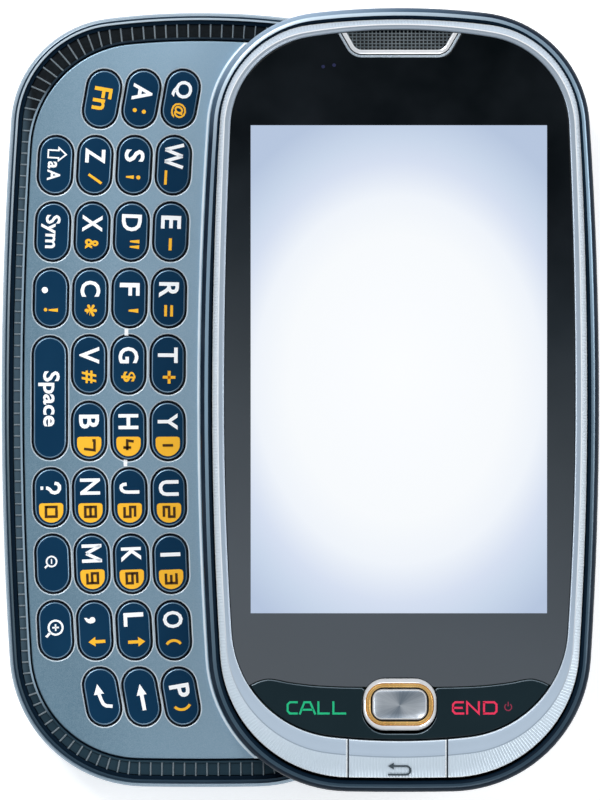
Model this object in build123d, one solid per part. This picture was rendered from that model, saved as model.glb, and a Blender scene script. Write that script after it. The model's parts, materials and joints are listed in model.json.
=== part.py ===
from build123d import *
import os
from dataclasses import dataclass
from math import cos, hypot, pi, radians, sin, sqrt, tan

# A side-sliding messaging phone, open, lying on its back. X runs across both halves, Y along the
# phone towards the earpiece, Z up from the table. The origin is midway across the open phone, on the
# table. Sizes are in millimetres.

# Outline of the display half: two gently bowed sides, two bowed ends and four round corners
half_width = 26.6
half_length = 52.3
side_radius = 550.0
top_radius = 100.0
top_corner = 15.7
bottom_radius = 400.0
bottom_corner = 18.8
base_shortfall = 0.55            # the keyboard half is this much shorter at each end

# Heights of the two halves
base_height = 8.6
slide_gap = 0.3
slider_height = 6.5

# Keyboard half: back and battery cover
back_radius = 3.2                # rounded edge of the back
back_steps = 2                   # flats that the rounded edge is made of
core_bevel = 2.0                 # bevelled edge of the case inside the battery cover
rim_bevel = 0.5                  # bevelled top of the keyboard half's rim
case_wall = 1.5
cover_wall = 1.0
cover_gap = 0.15
cover_side = 3.4                 # how high the cover's side walls reach
cover_end = 14.0                 # where the cover stops along the phone
cover_grip_width = 8.0           # thumb hollow near the cover's upper edge
cover_grip_length = 5.0
cover_grip_depth = 0.35
battery_width = 35.0
battery_gap = 0.3
battery_bevel = 0.6
bay_wall = 1.1                   # between the battery bay and the screw wells below it
bay_end = 1.6                    # from the bay's other end to where the cover stops
bay_roof = 0.4
bay_lift = 0.05

# Keyboard half: board bay, camera, loudspeaker, charging socket, screws
board_width = 40.0
board_past_cover = 2.4
board_end = 13.35                # from the board to the end of the keyboard half
board_thickness = 0.8
board_gap = 0.3
board_floor = 1.2
shield_height = 1.3
shield_inset = 1.5
camera_x = 9.0
camera_inset = 6.4               # camera and loudspeaker, from the board's upper end
camera_radius = 3.4
camera_flats = 24
camera_body = 7.8                # square camera body above the lens
camera_ring = 0.7
camera_depth = 0.3
lens_gap = 0.08
speaker_x = -9.0
speaker_width = 11.0
speaker_length = 9.0
speaker_slots = 4
slot_width = 0.9
slot_pitch = 2.0
socket_inset = 8.1               # socket's middle, from the board's lower end
socket_width = 7.5
socket_height = 2.5
socket_depth = 5.4
socket_wall = 0.3
socket_gap = 0.15
screw_inset_x = 9.7              # screws, from the sides and ends of the keyboard half
screw_inset_y = 9.85
screw_head_radius = 1.5
screw_head_height = 0.8
screw_radius = 0.7
screw_gap = 0.1
screw_recess = 0.2
screw_flats = 12                 # flats that stand in for the round of a screw and its hole
boss_width = 2.8

# Keyboard half: volume key on the side that the display half covers
volume_length = 14.0
volume_height = 1.4
volume_middle = 6.0
volume_low = 3.9
volume_proud = 0.4
volume_depth = 1.4
volume_travel = 0.25
volume_gap = 0.15

# Keyboard half: key sheet, deck and ribbed band
sheet_thickness = 0.45
sheet_margin = 1.4               # key sheet inside the deck's side
sheet_end_margin = 3.6           # and inside its ends
sheet_past_keys = 0.4            # its other edge, past the innermost column
sheet_bevel_margin = 5.5         # bevel across its corners, from the deck's corner radius
sheet_gap = 0.2
deck_side = 3.0                  # rim and band beside the deck
deck_end = 3.75                  # rim and band past the deck's ends
deck_corner = 14.5
deck_thickness = 0.85
deck_drop = 0.65                 # deck surface below the rim
deck_gap = 0.1
deck_foot = 2.0
deck_foot_inset = 0.5
band_gap = 0.1
band_drop = 0.35                 # ribbed band below the rim
runway_drop = 0.1                # raised runway below the rim
runway_margin = 0.45             # how far the runway shows past the display half

# Keys: four columns along the phone, bowed towards the display half at both ends
key_width = 4.5
key_gap = 0.17
key_flats = 5                    # flats round each end of a key and of its opening
key_rise = 0.5                   # cap above the deck
key_bevel = 0.3
key_travel = 0.35
key_play = 0.1
key_foot_height = 0.35
key_foot_play = 0.1              # between a key's foot and the deck above it
key_foot_width = 1.6
key_foot_reach = 0.3             # foot past the opening, under the deck
rows_top = 7.74                  # middle of the first and of the last row, from the deck's ends
rows_bottom = 8.34
row_gap = 1.13                   # between one key and the next along the phone
column_pitch = 5.25
column_side = 3.47               # middle of the outer column, from the deck's side
slider_past_keys = 2.13          # from the innermost column to the open display half
row_bow = (0.0, 0.15, 0.4, 0.76, 1.74)
row_tilt = (0.4, 1.0, 2.1, 3.1, 10.0)
space_trim = 0.3                 # space key shorter than two keys and their gap
key_columns = (
    ("q", "w", "e", "r", "t", "y", "u", "i", "o", "p"),
    ("a", "s", "d", "f", "g", "h", "j", "k", "l", "backspace"),
    ("fn", "z", "x", "c", "v", "b", "n", "m", "comma", "enter"),
    (None, "shift", "sym", "period", "space", None, "question", "zoom_out", "zoom_in", None),
)

# Slide: two T-rails on a steel plate, hooked through slots in the moving plate
rail_plate = 0.6
rail_y = 26.0
rail_width = 1.4
rail_head_width = 3.0
rail_head_height = 0.6
rail_end = 1.55                  # rails stop this far inside the moving plate's web
rail_plate_half_length = 30.0
rail_plate_border = 0.9
rail_plate_gap = 0.1
rail_play = 0.15
end_play = 0.25
slot_gap = 0.25
carriage_side = 2.85             # moving plate inside the display half's sides
carriage_half_length = 30.5
carriage_thickness = 0.6
carriage_web = 0.8
carriage_lift = 0.05

# Display half: case, board and display
slider_floor = 1.0
slider_back_bevel = 1.2
slider_rim_drop = 0.5            # rim below the highest point of the display half
slider_rim_bevel = 0.6
frame_seat = 3.3                 # frame's seat above the underside of the display half
frame_post_width = 1.6
frame_post_overlap = 0.05        # post's hold in the wall beside it
frame_post_end = 0.3             # posts at the sides stand this share of the length off the middle
rear_board_side = 5.1
rear_board_end = 10.3
rear_board_thickness = 0.6
rail_head_room = 0.3
post_width = 3.0
post_inset_x = 3.5               # posts, from the sides and ends of the rear board
post_inset_y = 5.0
receiver_width = 12.0
receiver_length = 5.5
receiver_height = 1.3
panel_side = 5.1                 # display inside the sides and ends of the display half
panel_top_end = 13.2
panel_bottom_end = 21.4

# Display half: silver frame and glass
frame_gap = 0.15
glass_drop = 0.2                 # glass below the highest point of the display half
glass_thickness = 1.0
glass_gap = 0.05
window_side = 3.33               # rim and frame beside, above and below the glass
window_top_end = 3.22
window_bottom_end = 6.85
window_top_radius = 75.0
window_top_corner = 12.4
window_bottom_radius = 82.0
window_bottom_corner = 14.9
ridge_side = 2.55                # crest of the frame, between the ribbed slope and the smooth band
ridge_top_end = 2.45
ridge_bottom_end = 4.6
ridge_top_corner = 13.2
ridge_bottom_corner = 15.6
ridge_slope = 0.55
ridge_drop = 0.1                 # crest below the highest point of the display half

# Display half: earpiece
ear_bottom_half = 6.38           # before its lower corners are rounded
ear_depth = 3.41                 # from the top of the glass
ear_lean = 30.0                  # lean of its sides, in degrees
ear_wall = 1.05
ear_corner = 2.27
ear_gap = 0.06
ear_seat_margin = 0.8
mesh_drop = 0.45

# Display half: front keys
front_key_gap = 0.15
front_key_travel = 0.35
front_key_room = 0.1
# Upper edge of the call and end panel above the foot of the glass: beside the ring, then on the way
# to its crest, at the crest and at its tip
edge_at_ring = 7.2
edge_rise = (6.15, 7.45)
edge_crest = (12.25, 8.25)
edge_tip = (1.87, 6.25)          # tip's place is from the side of the glass
ring_width = 9.8
ring_length = 7.3
ring_radius = 3.0
ring_height = 4.72               # its middle, above the foot of the glass
ok_width = 7.2
ok_length = 4.1
ok_radius = 1.3
ok_gap = 0.12
back_half_width = 6.5
back_key_height = 1.75

cut_past = 1.0                   # cuts run this far past the faces that they open

# Worked out from the sizes above: places across and along the phone
base_reach = half_length - base_shortfall
deck_half_width = half_width - deck_side
deck_half_length = base_reach - deck_end
row_count = len(key_columns[0])
row_pitch = (2 * deck_half_length - rows_top - rows_bottom) / (row_count - 1)
rows_middle = (rows_bottom - rows_top) / 2
key_length = row_pitch - row_gap
first_column = column_side - deck_half_width + (len(key_columns) - 1) * column_pitch
slide_travel = half_width + first_column + key_width / 2 + slider_past_keys
base_x = -slide_travel / 2
slider_x = slide_travel / 2
sheet_right = first_column + key_width / 2 + sheet_past_keys
sheet_half_length = deck_half_length - sheet_end_margin
screw_x = half_width - screw_inset_x
screw_y = base_reach - screw_inset_y
bay_bottom = -screw_y + screw_head_radius + screw_gap + bay_wall
bay_high = cover_end - bay_end
board_low = cover_end + board_past_cover
board_top = base_reach - board_end
camera_y = board_top - camera_inset
socket_y = board_low + socket_inset
carriage_half_width = half_width - carriage_side
slot_reach = carriage_half_width - carriage_web
rail_right = slot_reach - rail_end
rail_left = slide_travel - slot_reach + end_play
window_half_width = half_width - window_side
window_top = half_length - window_top_end
window_bottom = half_length - window_bottom_end
rear_board_width = 2 * (half_width - rear_board_side)
rear_board_length = 2 * (half_length - rear_board_end)
ear_bottom = window_top - ear_depth
ear_top_half = ear_bottom_half + ear_depth * tan(radians(ear_lean))
ring_middle = ring_height - window_bottom

# Worked out from the sizes above: heights
slider_low = base_height + slide_gap
slider_high = slider_low + slider_height
deck_top = base_height - deck_drop
deck_low = deck_top - deck_thickness
runway_top = base_height - runway_drop
key_top = deck_top + key_rise
key_low = deck_low - key_foot_play - key_foot_height
sheet_top = key_low - key_travel - key_play
tray_floor = sheet_top - sheet_thickness
core_low = cover_wall + cover_gap
bay_top = tray_floor - bay_roof
rails_top = runway_top
carriage_low = slider_low + slider_floor + carriage_lift
carriage_high = carriage_low + carriage_thickness
rail_head_low = carriage_high + rail_play
rail_head_high = rail_head_low + rail_head_height
rear_board_low = rail_head_high + rail_head_room
rear_board_high = rear_board_low + rear_board_thickness
frame_low = slider_low + frame_seat
glass_top = slider_high - glass_drop
glass_low = glass_top - glass_thickness
ridge_high = slider_high - ridge_drop
front_key_low = rear_board_high + front_key_travel + front_key_room
screw_low = screw_recess + cover_wall


@dataclass(frozen=True)
class Outline:
    # Eight tangent arcs, alike left and right. Taking the same amount off every reach and radius
    # gives the outline that lies that far inside, all round.
    half_width: float
    top: float
    bottom: float
    side_radius: float
    top_radius: float
    top_corner: float
    bottom_radius: float
    bottom_corner: float

    def inset(self, gap):
        return Outline(
            self.half_width - gap,
            self.top - gap,
            self.bottom - gap,
            self.side_radius - gap,
            self.top_radius - gap,
            self.top_corner - gap,
            self.bottom_radius - gap,
            self.bottom_corner - gap,
        )

    def side_at(self, along):
        # How far out the bowed side lies at a place along the phone
        return self.half_width - self.side_radius + sqrt(self.side_radius**2 - along**2)

    def corner(self, reach, end_radius, corner_radius):
        # Centre of the corner arc and its two tangent points and middle, for the end at +reach
        side = Vector(self.half_width - self.side_radius, 0)
        end = Vector(0, reach - end_radius)
        from_side = self.side_radius - corner_radius
        from_end = end_radius - corner_radius
        between = hypot(side.X, end.Y)
        along = (from_side**2 - from_end**2 + between**2) / (2 * between)
        across = sqrt(from_side**2 - along**2)
        step = (end - side) * (1 / between)
        foot = side + step * along
        normal = Vector(-step.Y, step.X)
        centre = max((foot + normal * across, foot - normal * across), key=lambda point: point.X + point.Y)
        on_side = centre + (centre - side).normalized() * corner_radius
        on_end = centre + (centre - end).normalized() * corner_radius
        middle = centre + ((on_side + on_end) * 0.5 - centre).normalized() * corner_radius
        return on_side, middle, on_end

    def face(self):
        side_top, corner_top, end_top = self.corner(self.top, self.top_radius, self.top_corner)
        side_low, corner_low, end_low = self.corner(self.bottom, self.bottom_radius, self.bottom_corner)

        def at(point, x_sign, y_sign):
            return (point.X * x_sign, point.Y * y_sign)

        arcs = [
            ThreePointArc(at(side_low, 1, -1), (self.half_width, 0), at(side_top, 1, 1)),
            ThreePointArc(at(side_top, 1, 1), at(corner_top, 1, 1), at(end_top, 1, 1)),
            ThreePointArc(at(end_top, 1, 1), (0, self.top), at(end_top, -1, 1)),
            ThreePointArc(at(end_top, -1, 1), at(corner_top, -1, 1), at(side_top, -1, 1)),
            ThreePointArc(at(side_top, -1, 1), (-self.half_width, 0), at(side_low, -1, -1)),
            ThreePointArc(at(side_low, -1, -1), at(corner_low, -1, -1), at(end_low, -1, -1)),
            ThreePointArc(at(end_low, -1, -1), (0, -self.bottom), at(end_low, 1, -1)),
            ThreePointArc(at(end_low, 1, -1), at(corner_low, 1, -1), at(side_low, 1, -1)),
        ]
        return Face(Wire(arcs))


slider_outline = Outline(
    half_width, half_length, half_length, side_radius, top_radius, top_corner, bottom_radius, bottom_corner
)
base_outline = Outline(
    half_width, base_reach, base_reach, side_radius, top_radius, top_corner, bottom_radius, bottom_corner
)
deck_outline = Outline(
    deck_half_width,
    deck_half_length,
    deck_half_length,
    side_radius,
    top_radius,
    deck_corner,
    bottom_radius,
    deck_corner,
)
window_outline = Outline(
    window_half_width,
    window_top,
    window_bottom,
    side_radius,
    window_top_radius,
    window_top_corner,
    window_bottom_radius,
    window_bottom_corner,
)
ridge_outline = Outline(
    half_width - ridge_side,
    half_length - ridge_top_end,
    half_length - ridge_bottom_end,
    side_radius,
    window_top_radius,
    ridge_top_corner,
    window_bottom_radius,
    ridge_bottom_corner,
)


def prism(face, low, high):
    return Pos(0, 0, low) * extrude(face, high - low, dir=(0, 0, 1))


def stack(*sections):
    # Solid through outlines at rising heights, straight between each and the next
    return loft([Pos(0, 0, height) * outline.face() for outline, height in sections], ruled=True)


# Turns of the corners of the small rounds, whose rounds are made of a few flats
screw_turns = [2 * pi * index / screw_flats for index in range(screw_flats)]
camera_turns = [2 * pi * index / camera_flats for index in range(camera_flats)]


def faceted(x, y, radius, z_low, z_high, turns=screw_turns):
    # Small round bar
    corners = [(x + radius * cos(turn), y + radius * sin(turn)) for turn in turns]
    return prism(make_face(Polyline(*corners, close=True)), z_low, z_high)


def block(x_low, x_high, y_low, y_high, z_low, z_high):
    middle = Pos((x_low + x_high) / 2, (y_low + y_high) / 2, (z_low + z_high) / 2)
    return middle * Box(x_high - x_low, y_high - y_low, z_high - z_low)


def middle_block(x, y, width, length, z_low, z_high):
    return block(x - width / 2, x + width / 2, y - length / 2, y + length / 2, z_low, z_high)


def key_face(width, length):
    # Round-ended shape with its length along Y, each end made of a few flats
    radius = width / 2
    middle = length / 2 - radius
    turns = [index * pi / key_flats for index in range(key_flats + 1)]
    upper = [(radius * cos(turn), middle + radius * sin(turn)) for turn in turns]
    return make_face(Polyline(*upper, *[(-x, -y) for x, y in upper], close=True))


def key_places():
    # Name, place and tilt of every key, from the keyboard half's middle
    for column, names in enumerate(key_columns):
        for row, name in enumerate(names):
            if name is None:
                continue
            from_middle = (row_count - 1) / 2 - row
            step = int(abs(from_middle))
            x = first_column - column_pitch * column + row_bow[step]
            y = rows_middle + row_pitch * from_middle
            tilt = -row_tilt[step] if from_middle > 0 else row_tilt[step]
            length = key_length
            if name == "space":
                y -= row_pitch / 2
                tilt = 0
                length += row_pitch - space_trim
            yield name, x, y, tilt, length


def screw_places():
    return [(x, y) for x in (-screw_x, screw_x) for y in (-screw_y, screw_y)]


def outer_form():
    # Keyboard half with its rounded back edge and bevelled rim
    turns = [index * pi / 2 / back_steps for index in range(back_steps + 1)]
    back = [
        (base_outline.inset(back_radius * (1 - sin(turn))), back_radius * (1 - cos(turn))) for turn in turns
    ]
    rim = [(base_outline, base_height - rim_bevel), (base_outline.inset(rim_bevel), base_height)]
    return stack(*back, *rim)


def core_form(inset):
    # What the battery cover closes over
    outline = base_outline.inset(inset)
    return stack(
        (outline.inset(core_bevel), inset), (outline, inset + core_bevel), (outline, base_height - rim_bevel)
    )


def cover_zone(gap):
    # Space that the battery cover takes from the case, with the given gap round it
    reach = half_length + half_width
    return block(-reach, reach, -reach, cover_end + gap, -cut_past, cover_side + gap)


def base_case():
    case = outer_form() - (cover_zone(cover_gap) - core_form(core_low))
    # Tray for the band, the key sheet and the deck
    case -= prism(base_outline.inset(case_wall).face(), tray_floor, base_height + cut_past)
    # Battery bay, open at the back
    bay_half = battery_width / 2 + battery_gap
    case -= block(-bay_half, bay_half, bay_bottom, bay_high, -cut_past, bay_top)
    # Board bay, open towards the tray
    case -= block(
        -board_width / 2 - board_gap,
        board_width / 2 + board_gap,
        board_low - board_gap,
        board_top + board_gap,
        board_floor,
        tray_floor + cut_past,
    )
    floor_top = board_floor + cut_past
    case -= faceted(camera_x, camera_y, camera_radius + lens_gap, -cut_past, floor_top, camera_turns)
    for index in range(speaker_slots):
        x = speaker_x + (index - (speaker_slots - 1) / 2) * slot_pitch
        slot_length = speaker_length - 2 * slot_width
        case -= middle_block(x, camera_y, slot_width, slot_length, -cut_past, floor_top)
    # Charging socket opening and volume key pocket in the side wall
    socket_low = board_floor + board_thickness
    case -= block(
        board_width / 2,
        half_width + cut_past,
        socket_y - socket_width / 2 - socket_gap,
        socket_y + socket_width / 2 + socket_gap,
        socket_low - socket_gap,
        socket_low + socket_height + socket_gap,
    )
    case -= block(
        half_width - volume_depth - volume_travel - volume_gap,
        half_width + cut_past,
        volume_middle - volume_length / 2 - volume_gap,
        volume_middle + volume_length / 2 + volume_gap,
        volume_low - volume_gap,
        volume_low + volume_height + volume_gap,
    )
    for x, y in screw_places():
        case -= faceted(x, y, screw_radius + screw_gap, -cut_past, base_height)
        case -= faceted(x, y, screw_head_radius + screw_gap, -cut_past, screw_low + screw_head_height)
    return case


def battery_cover():
    cover = (outer_form() & cover_zone(0)) - core_form(cover_wall)
    grip = block(-cover_grip_width, cover_grip_width, -cover_grip_length / 2, cover_grip_length / 2,
                 -cover_grip_depth, cover_grip_depth)
    grip = chamfer(grip.edges().group_by(Axis.Z)[-1], cover_grip_depth)
    return cover - Pos(0, cover_end - cover_grip_length, 0) * grip


def battery():
    pack = block(-battery_width / 2, battery_width / 2, bay_bottom + battery_gap, bay_high - battery_gap,
                 core_low + bay_lift, bay_top - bay_lift)
    return chamfer(pack.edges().filter_by(Axis.Z), battery_bevel)


def main_board():
    top = board_floor + board_thickness
    board = block(-board_width / 2, board_width / 2, board_low, board_top, board_floor, top)
    board -= faceted(camera_x, camera_y, camera_radius + lens_gap, 0, top, camera_turns)
    board -= middle_block(speaker_x, camera_y, speaker_width, speaker_length, 0, top)
    speaker = middle_block(speaker_x, camera_y, speaker_width - board_gap, speaker_length - board_gap,
                           board_floor, tray_floor - board_gap)
    shield = block(-board_width / 2 + shield_inset, 0, board_low + shield_inset,
                   camera_y - speaker_length / 2 - shield_inset, top, top + shield_height)
    camera = middle_block(camera_x, camera_y, camera_body, camera_body, top, tray_floor - board_gap)
    socket_right = board_width / 2
    shell = block(socket_right - socket_depth, socket_right, socket_y - socket_width / 2,
                  socket_y + socket_width / 2, top, top + socket_height)
    shell -= block(socket_right - socket_depth + socket_wall, socket_right + cut_past,
                   socket_y - socket_width / 2 + socket_wall, socket_y + socket_width / 2 - socket_wall,
                   top + socket_wall, top + socket_height - socket_wall)
    return [board, speaker, shield, camera, shell]


def camera_lens():
    # Bevelled ring round a sunken lens window
    lens = faceted(camera_x, camera_y, camera_radius, 0, board_floor + board_thickness, camera_turns)
    lens = chamfer(lens.edges().group_by(Axis.Z)[0], camera_depth / 2)
    return lens - faceted(camera_x, camera_y, camera_radius - camera_ring, 0, camera_depth, camera_turns)


def volume_key():
    right = half_width + volume_proud
    left = half_width - volume_depth
    key = block(left, right, volume_middle - volume_length / 2, volume_middle + volume_length / 2,
                volume_low, volume_low + volume_height)
    return chamfer(key.edges().filter_by(Axis.Z).group_by(Axis.X)[-1], volume_proud)


def case_screws():
    screws = []
    for x, y in screw_places():
        head_top = screw_low + screw_head_height
        head = faceted(x, y, screw_head_radius, screw_low, head_top)
        screws.append(head + faceted(x, y, screw_radius, head_top, deck_low - key_play))
    return screws


def key_membrane():
    left = -deck_half_width + sheet_margin
    sheet = block(left, sheet_right, -sheet_half_length, sheet_half_length, tray_floor, sheet_top)
    sheet = chamfer(sheet.edges().filter_by(Axis.Z).group_by(Axis.X)[0], deck_corner - sheet_bevel_margin)
    notch = boss_width + 2 * sheet_gap
    return sheet - [middle_block(x, y, notch, notch, 0, base_height) for x, y in screw_places()]


def runway_face():
    # Part of the deck that stays under the display half, with a narrow edge showing when it is open
    shown = Pos(slide_travel, 0, 0) * slider_outline.inset(-runway_margin).face()
    return shown & deck_outline.face()


def keyboard_deck():
    deck = prism(deck_outline.face(), deck_low, deck_top)
    deck += prism(runway_face(), deck_low, runway_top)
    openings = [
        Pos(x, y, 0) * Rot(0, 0, tilt) * key_face(key_width + 2 * key_gap, length + 2 * key_gap)
        for _, x, y, tilt, length in key_places()
    ]
    deck -= [prism(opening, deck_low - cut_past, base_height) for opening in openings]
    # Pocket for the rail plate
    deck -= block(
        rail_left - rail_plate_border - rail_plate_gap,
        rail_right + rail_plate_border + rail_plate_gap,
        -rail_plate_half_length - rail_plate_gap,
        rail_plate_half_length + rail_plate_gap,
        rails_top - rail_plate,
        base_height,
    )
    for x, y in screw_places():
        boss = middle_block(x, y, boss_width, boss_width, tray_floor, deck_low)
        deck += boss - faceted(x, y, screw_radius + screw_gap, 0, deck_low)
    foot_x = deck_half_width - deck_foot / 2 - deck_foot_inset
    foot_y = deck_half_length - deck_foot / 2 - deck_foot_inset
    for x, y in ((0, foot_y), (0, -foot_y), (foot_x, 0)):
        deck += middle_block(x, y, deck_foot, deck_foot, tray_floor, deck_low)
    return deck


def ribbed_band():
    ring = prism(base_outline.inset(case_wall + band_gap).face(), tray_floor, base_height - band_drop)
    return ring - prism(deck_outline.inset(-deck_gap).face(), 0, base_height)


def key_cap(x, y, tilt, length):
    cap = prism(key_face(key_width, length), key_low, key_top)
    cap = chamfer(cap.edges().group_by(Axis.Z)[-1], key_bevel)
    foot_length = length + 2 * (key_gap + key_foot_reach)
    cap += middle_block(0, 0, key_foot_width, foot_length, key_low, key_low + key_foot_height)
    return Pos(x, y, 0) * Rot(0, 0, tilt) * cap


def slide_rails():
    plate = block(
        rail_left - rail_plate_border,
        rail_right + rail_plate_border,
        -rail_plate_half_length,
        rail_plate_half_length,
        rails_top - rail_plate,
        rails_top,
    )
    for y in (-rail_y, rail_y):
        plate += block(rail_left, rail_right, y - rail_width / 2, y + rail_width / 2, rails_top, rail_head_low)
        plate += block(rail_left, rail_right, y - rail_head_width / 2, y + rail_head_width / 2,
                       rail_head_low, rail_head_high)
    return plate


def slide_carriage():
    plate = block(-carriage_half_width, carriage_half_width, -carriage_half_length, carriage_half_length,
                  carriage_low, carriage_high)
    for y in (-rail_y, rail_y):
        plate -= block(-slot_reach, rail_right + end_play, y - rail_width / 2 - rail_play,
                       y + rail_width / 2 + rail_play, carriage_low, carriage_high)
    return plate


def slider_case():
    rim_top = slider_high - slider_rim_drop
    case = stack(
        (slider_outline.inset(slider_back_bevel), slider_low),
        (slider_outline, slider_low + slider_back_bevel),
        (slider_outline, rim_top - slider_rim_bevel),
        (slider_outline.inset(slider_rim_bevel), rim_top),
    )
    floor = slider_low + slider_floor
    case -= prism(slider_outline.inset(case_wall).face(), floor, slider_high)
    for y in (-rail_y, rail_y):
        width = rail_width + 2 * slot_gap
        case -= block(-slot_reach, rail_right + end_play, y - width / 2, y + width / 2, 0, slider_high)
    post_x = rear_board_width / 2 - post_inset_x
    post_y = rear_board_length / 2 - post_inset_y
    for x in (-post_x, post_x):
        for y in (-post_y, post_y):
            case += middle_block(x, y, post_width, post_width, floor, rear_board_low)
    # Posts against the wall that carry the silver frame
    reach = case_wall + frame_post_width / 2 - frame_post_overlap
    along = frame_post_end * 2 * half_length
    inner_side = slider_outline.side_at(along) - reach
    places = [(0, half_length - reach), (0, reach - half_length)]
    places += [(x, y) for x in (-inner_side, inner_side) for y in (-along, along)]
    for x, y in places:
        case += middle_block(x, y, frame_post_width, frame_post_width, floor, frame_low)
    return case


def slider_board():
    board = middle_block(0, 0, rear_board_width, rear_board_length, rear_board_low, rear_board_high)
    tongue_end = rear_board_length / 2 + receiver_length
    board += block(-receiver_width / 2, receiver_width / 2, 0, tongue_end, rear_board_low, rear_board_high)
    receiver = block(-receiver_width / 2, receiver_width / 2, rear_board_length / 2, tongue_end,
                     rear_board_high, rear_board_high + receiver_height)
    return [board, receiver]


def display_module():
    side = half_width - panel_side
    low, high = panel_bottom_end - half_length, half_length - panel_top_end
    return block(-side, side, low, high, rear_board_high, glass_low)


def ear_face(inset):
    # Trapezoid with its wide side at the frame, rounded at its two lower corners
    lean = radians(ear_lean)
    low, high = ear_bottom + inset, window_top + cut_past
    low_half = ear_bottom_half - inset * (1 / cos(lean) - tan(lean))
    high_half = low_half + (high - low) * tan(lean)
    shape = make_face(
        Polyline((-high_half, high), (-low_half, low), (low_half, low), (high_half, high), close=True)
    )
    return fillet(shape.vertices().group_by(Axis.Y)[0], ear_corner - inset)


def call_face(gap):
    # Lower part of the window, under an edge that dips at the centre key and at both tips
    ring_side = ring_width / 2
    places = [
        (ring_side, edge_at_ring),
        (ring_side + edge_rise[0], edge_rise[1]),
        (ring_side + edge_crest[0], edge_crest[1]),
        (window_half_width - edge_tip[0], edge_tip[1]),
    ]
    right = [(x, y - window_bottom - gap) for x, y in places]
    left = [(-x, y) for x, y in reversed(right)]
    low_right = (right[-1][0], -half_length)
    edges = [Spline(*left), Line(left[-1], right[0]), Spline(*right)]
    edges += Polyline(right[-1], low_right, (-low_right[0], -half_length), left[0]).edges()
    return Face(Wire(edges)) & window_outline.inset(max(gap, glass_gap)).face()


def ring_face(gap):
    return Pos(0, ring_middle, 0) * RectangleRounded(
        ring_width + 2 * gap, ring_length + 2 * gap, ring_radius + gap
    )


def frame_body():
    # Silver ring with a sloped outer shoulder, before its openings
    outer = slider_outline.inset(case_wall + frame_gap).face()
    shoulder = ridge_high - ridge_slope
    body = prism(outer, frame_low, shoulder)
    body += loft([Pos(0, 0, shoulder) * outer, Pos(0, 0, ridge_high) * ridge_outline.face()], ruled=True)
    return body


def front_frame():
    frame = frame_body() - prism(window_outline.face(), frame_low - cut_past, slider_high)
    # Tongue that the earpiece trim stands on, above the receiver
    tongue = block(
        -ear_top_half - ear_seat_margin,
        ear_top_half + ear_seat_margin,
        ear_bottom - ear_seat_margin,
        window_top,
        rear_board_high + receiver_height,
        glass_low,
    )
    frame += tongue & prism(window_outline.face(), frame_low, slider_high)
    # Opening for the back key
    room = back_key_height + front_key_travel + front_key_room
    half = back_half_width + front_key_gap
    return frame - block(-half, half, -half_length, cut_past - window_bottom, slider_high - room, slider_high)


def front_window():
    glass = prism(window_outline.inset(glass_gap).face(), glass_low, glass_top)
    glass -= prism(call_face(0), 0, slider_high)
    glass -= prism(ring_face(glass_gap), 0, slider_high)
    glass -= prism(ear_face(-ear_gap), 0, slider_high)
    return glass


def earpiece_trim():
    trim = prism(ear_face(0), glass_low, slider_high)
    trim &= prism(window_outline.inset(glass_gap).face(), glass_low, glass_top + glass_gap)
    return trim - prism(ear_face(ear_wall), glass_low, slider_high)


def earpiece_mesh():
    mesh = prism(ear_face(ear_wall + ear_gap), glass_low, glass_top - mesh_drop)
    return mesh & prism(window_outline.inset(glass_gap).face(), glass_low, glass_top)


def call_end_key():
    key = prism(call_face(front_key_gap), front_key_low, glass_top)
    key -= prism(ring_face(front_key_gap), 0, slider_high)
    return key


def ok_face(gap):
    return Pos(0, ring_middle, 0) * RectangleRounded(ok_width + 2 * gap, ok_length + 2 * gap, ok_radius + gap)


def ok_ring():
    return prism(ring_face(0), rear_board_high, slider_high) - prism(ok_face(ok_gap), 0, slider_high)


def ok_key():
    return prism(ok_face(0), front_key_low, glass_top)


def back_key():
    low = slider_high - back_key_height
    zone = block(-back_half_width, back_half_width, -half_length, -window_bottom, low, slider_high)
    key = frame_body() & zone
    return key - prism(window_outline.inset(-front_key_gap / 2).face(), 0, slider_high)


base_parts = {
    "base_case": base_case,
    "battery_cover": battery_cover,
    "battery": battery,
    "main_board": main_board,
    "key_membrane": key_membrane,
    "keyboard_deck": keyboard_deck,
    "ribbed_band": ribbed_band,
    "slide_rails": slide_rails,
    "case_screws": case_screws,
    "camera_lens": camera_lens,
    "volume_key": volume_key,
}
slider_parts = {
    "slider_case": slider_case,
    "slide_carriage": slide_carriage,
    "slider_board": slider_board,
    "display_module": display_module,
    "front_frame": front_frame,
    "front_window": front_window,
    "earpiece_trim": earpiece_trim,
    "earpiece_mesh": earpiece_mesh,
    "call_end_key": call_end_key,
    "ok_ring": ok_ring,
    "ok_key": ok_key,
    "back_key": back_key,
}


def write(name, made, x):
    solids = [solid for piece in (made if isinstance(made, list) else [made]) for solid in piece.solids()]
    placed = Pos(x, 0, 0) * Compound(solids)
    export_step(placed, f"parts/{name}.step")


os.makedirs("parts", exist_ok=True)
for name, make in base_parts.items():
    write(name, make(), base_x)
for name, make in slider_parts.items():
    write(name, make(), slider_x)
for name, x, y, tilt, length in key_places():
    write(f"key_{name}", key_cap(x, y, tilt, length), base_x)
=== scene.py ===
import bmesh
import bpy
import json
from math import atan2, cos, pi, radians, sin, sqrt
from mathutils import Matrix, Vector
from mathutils.geometry import tessellate_polygon


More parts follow.
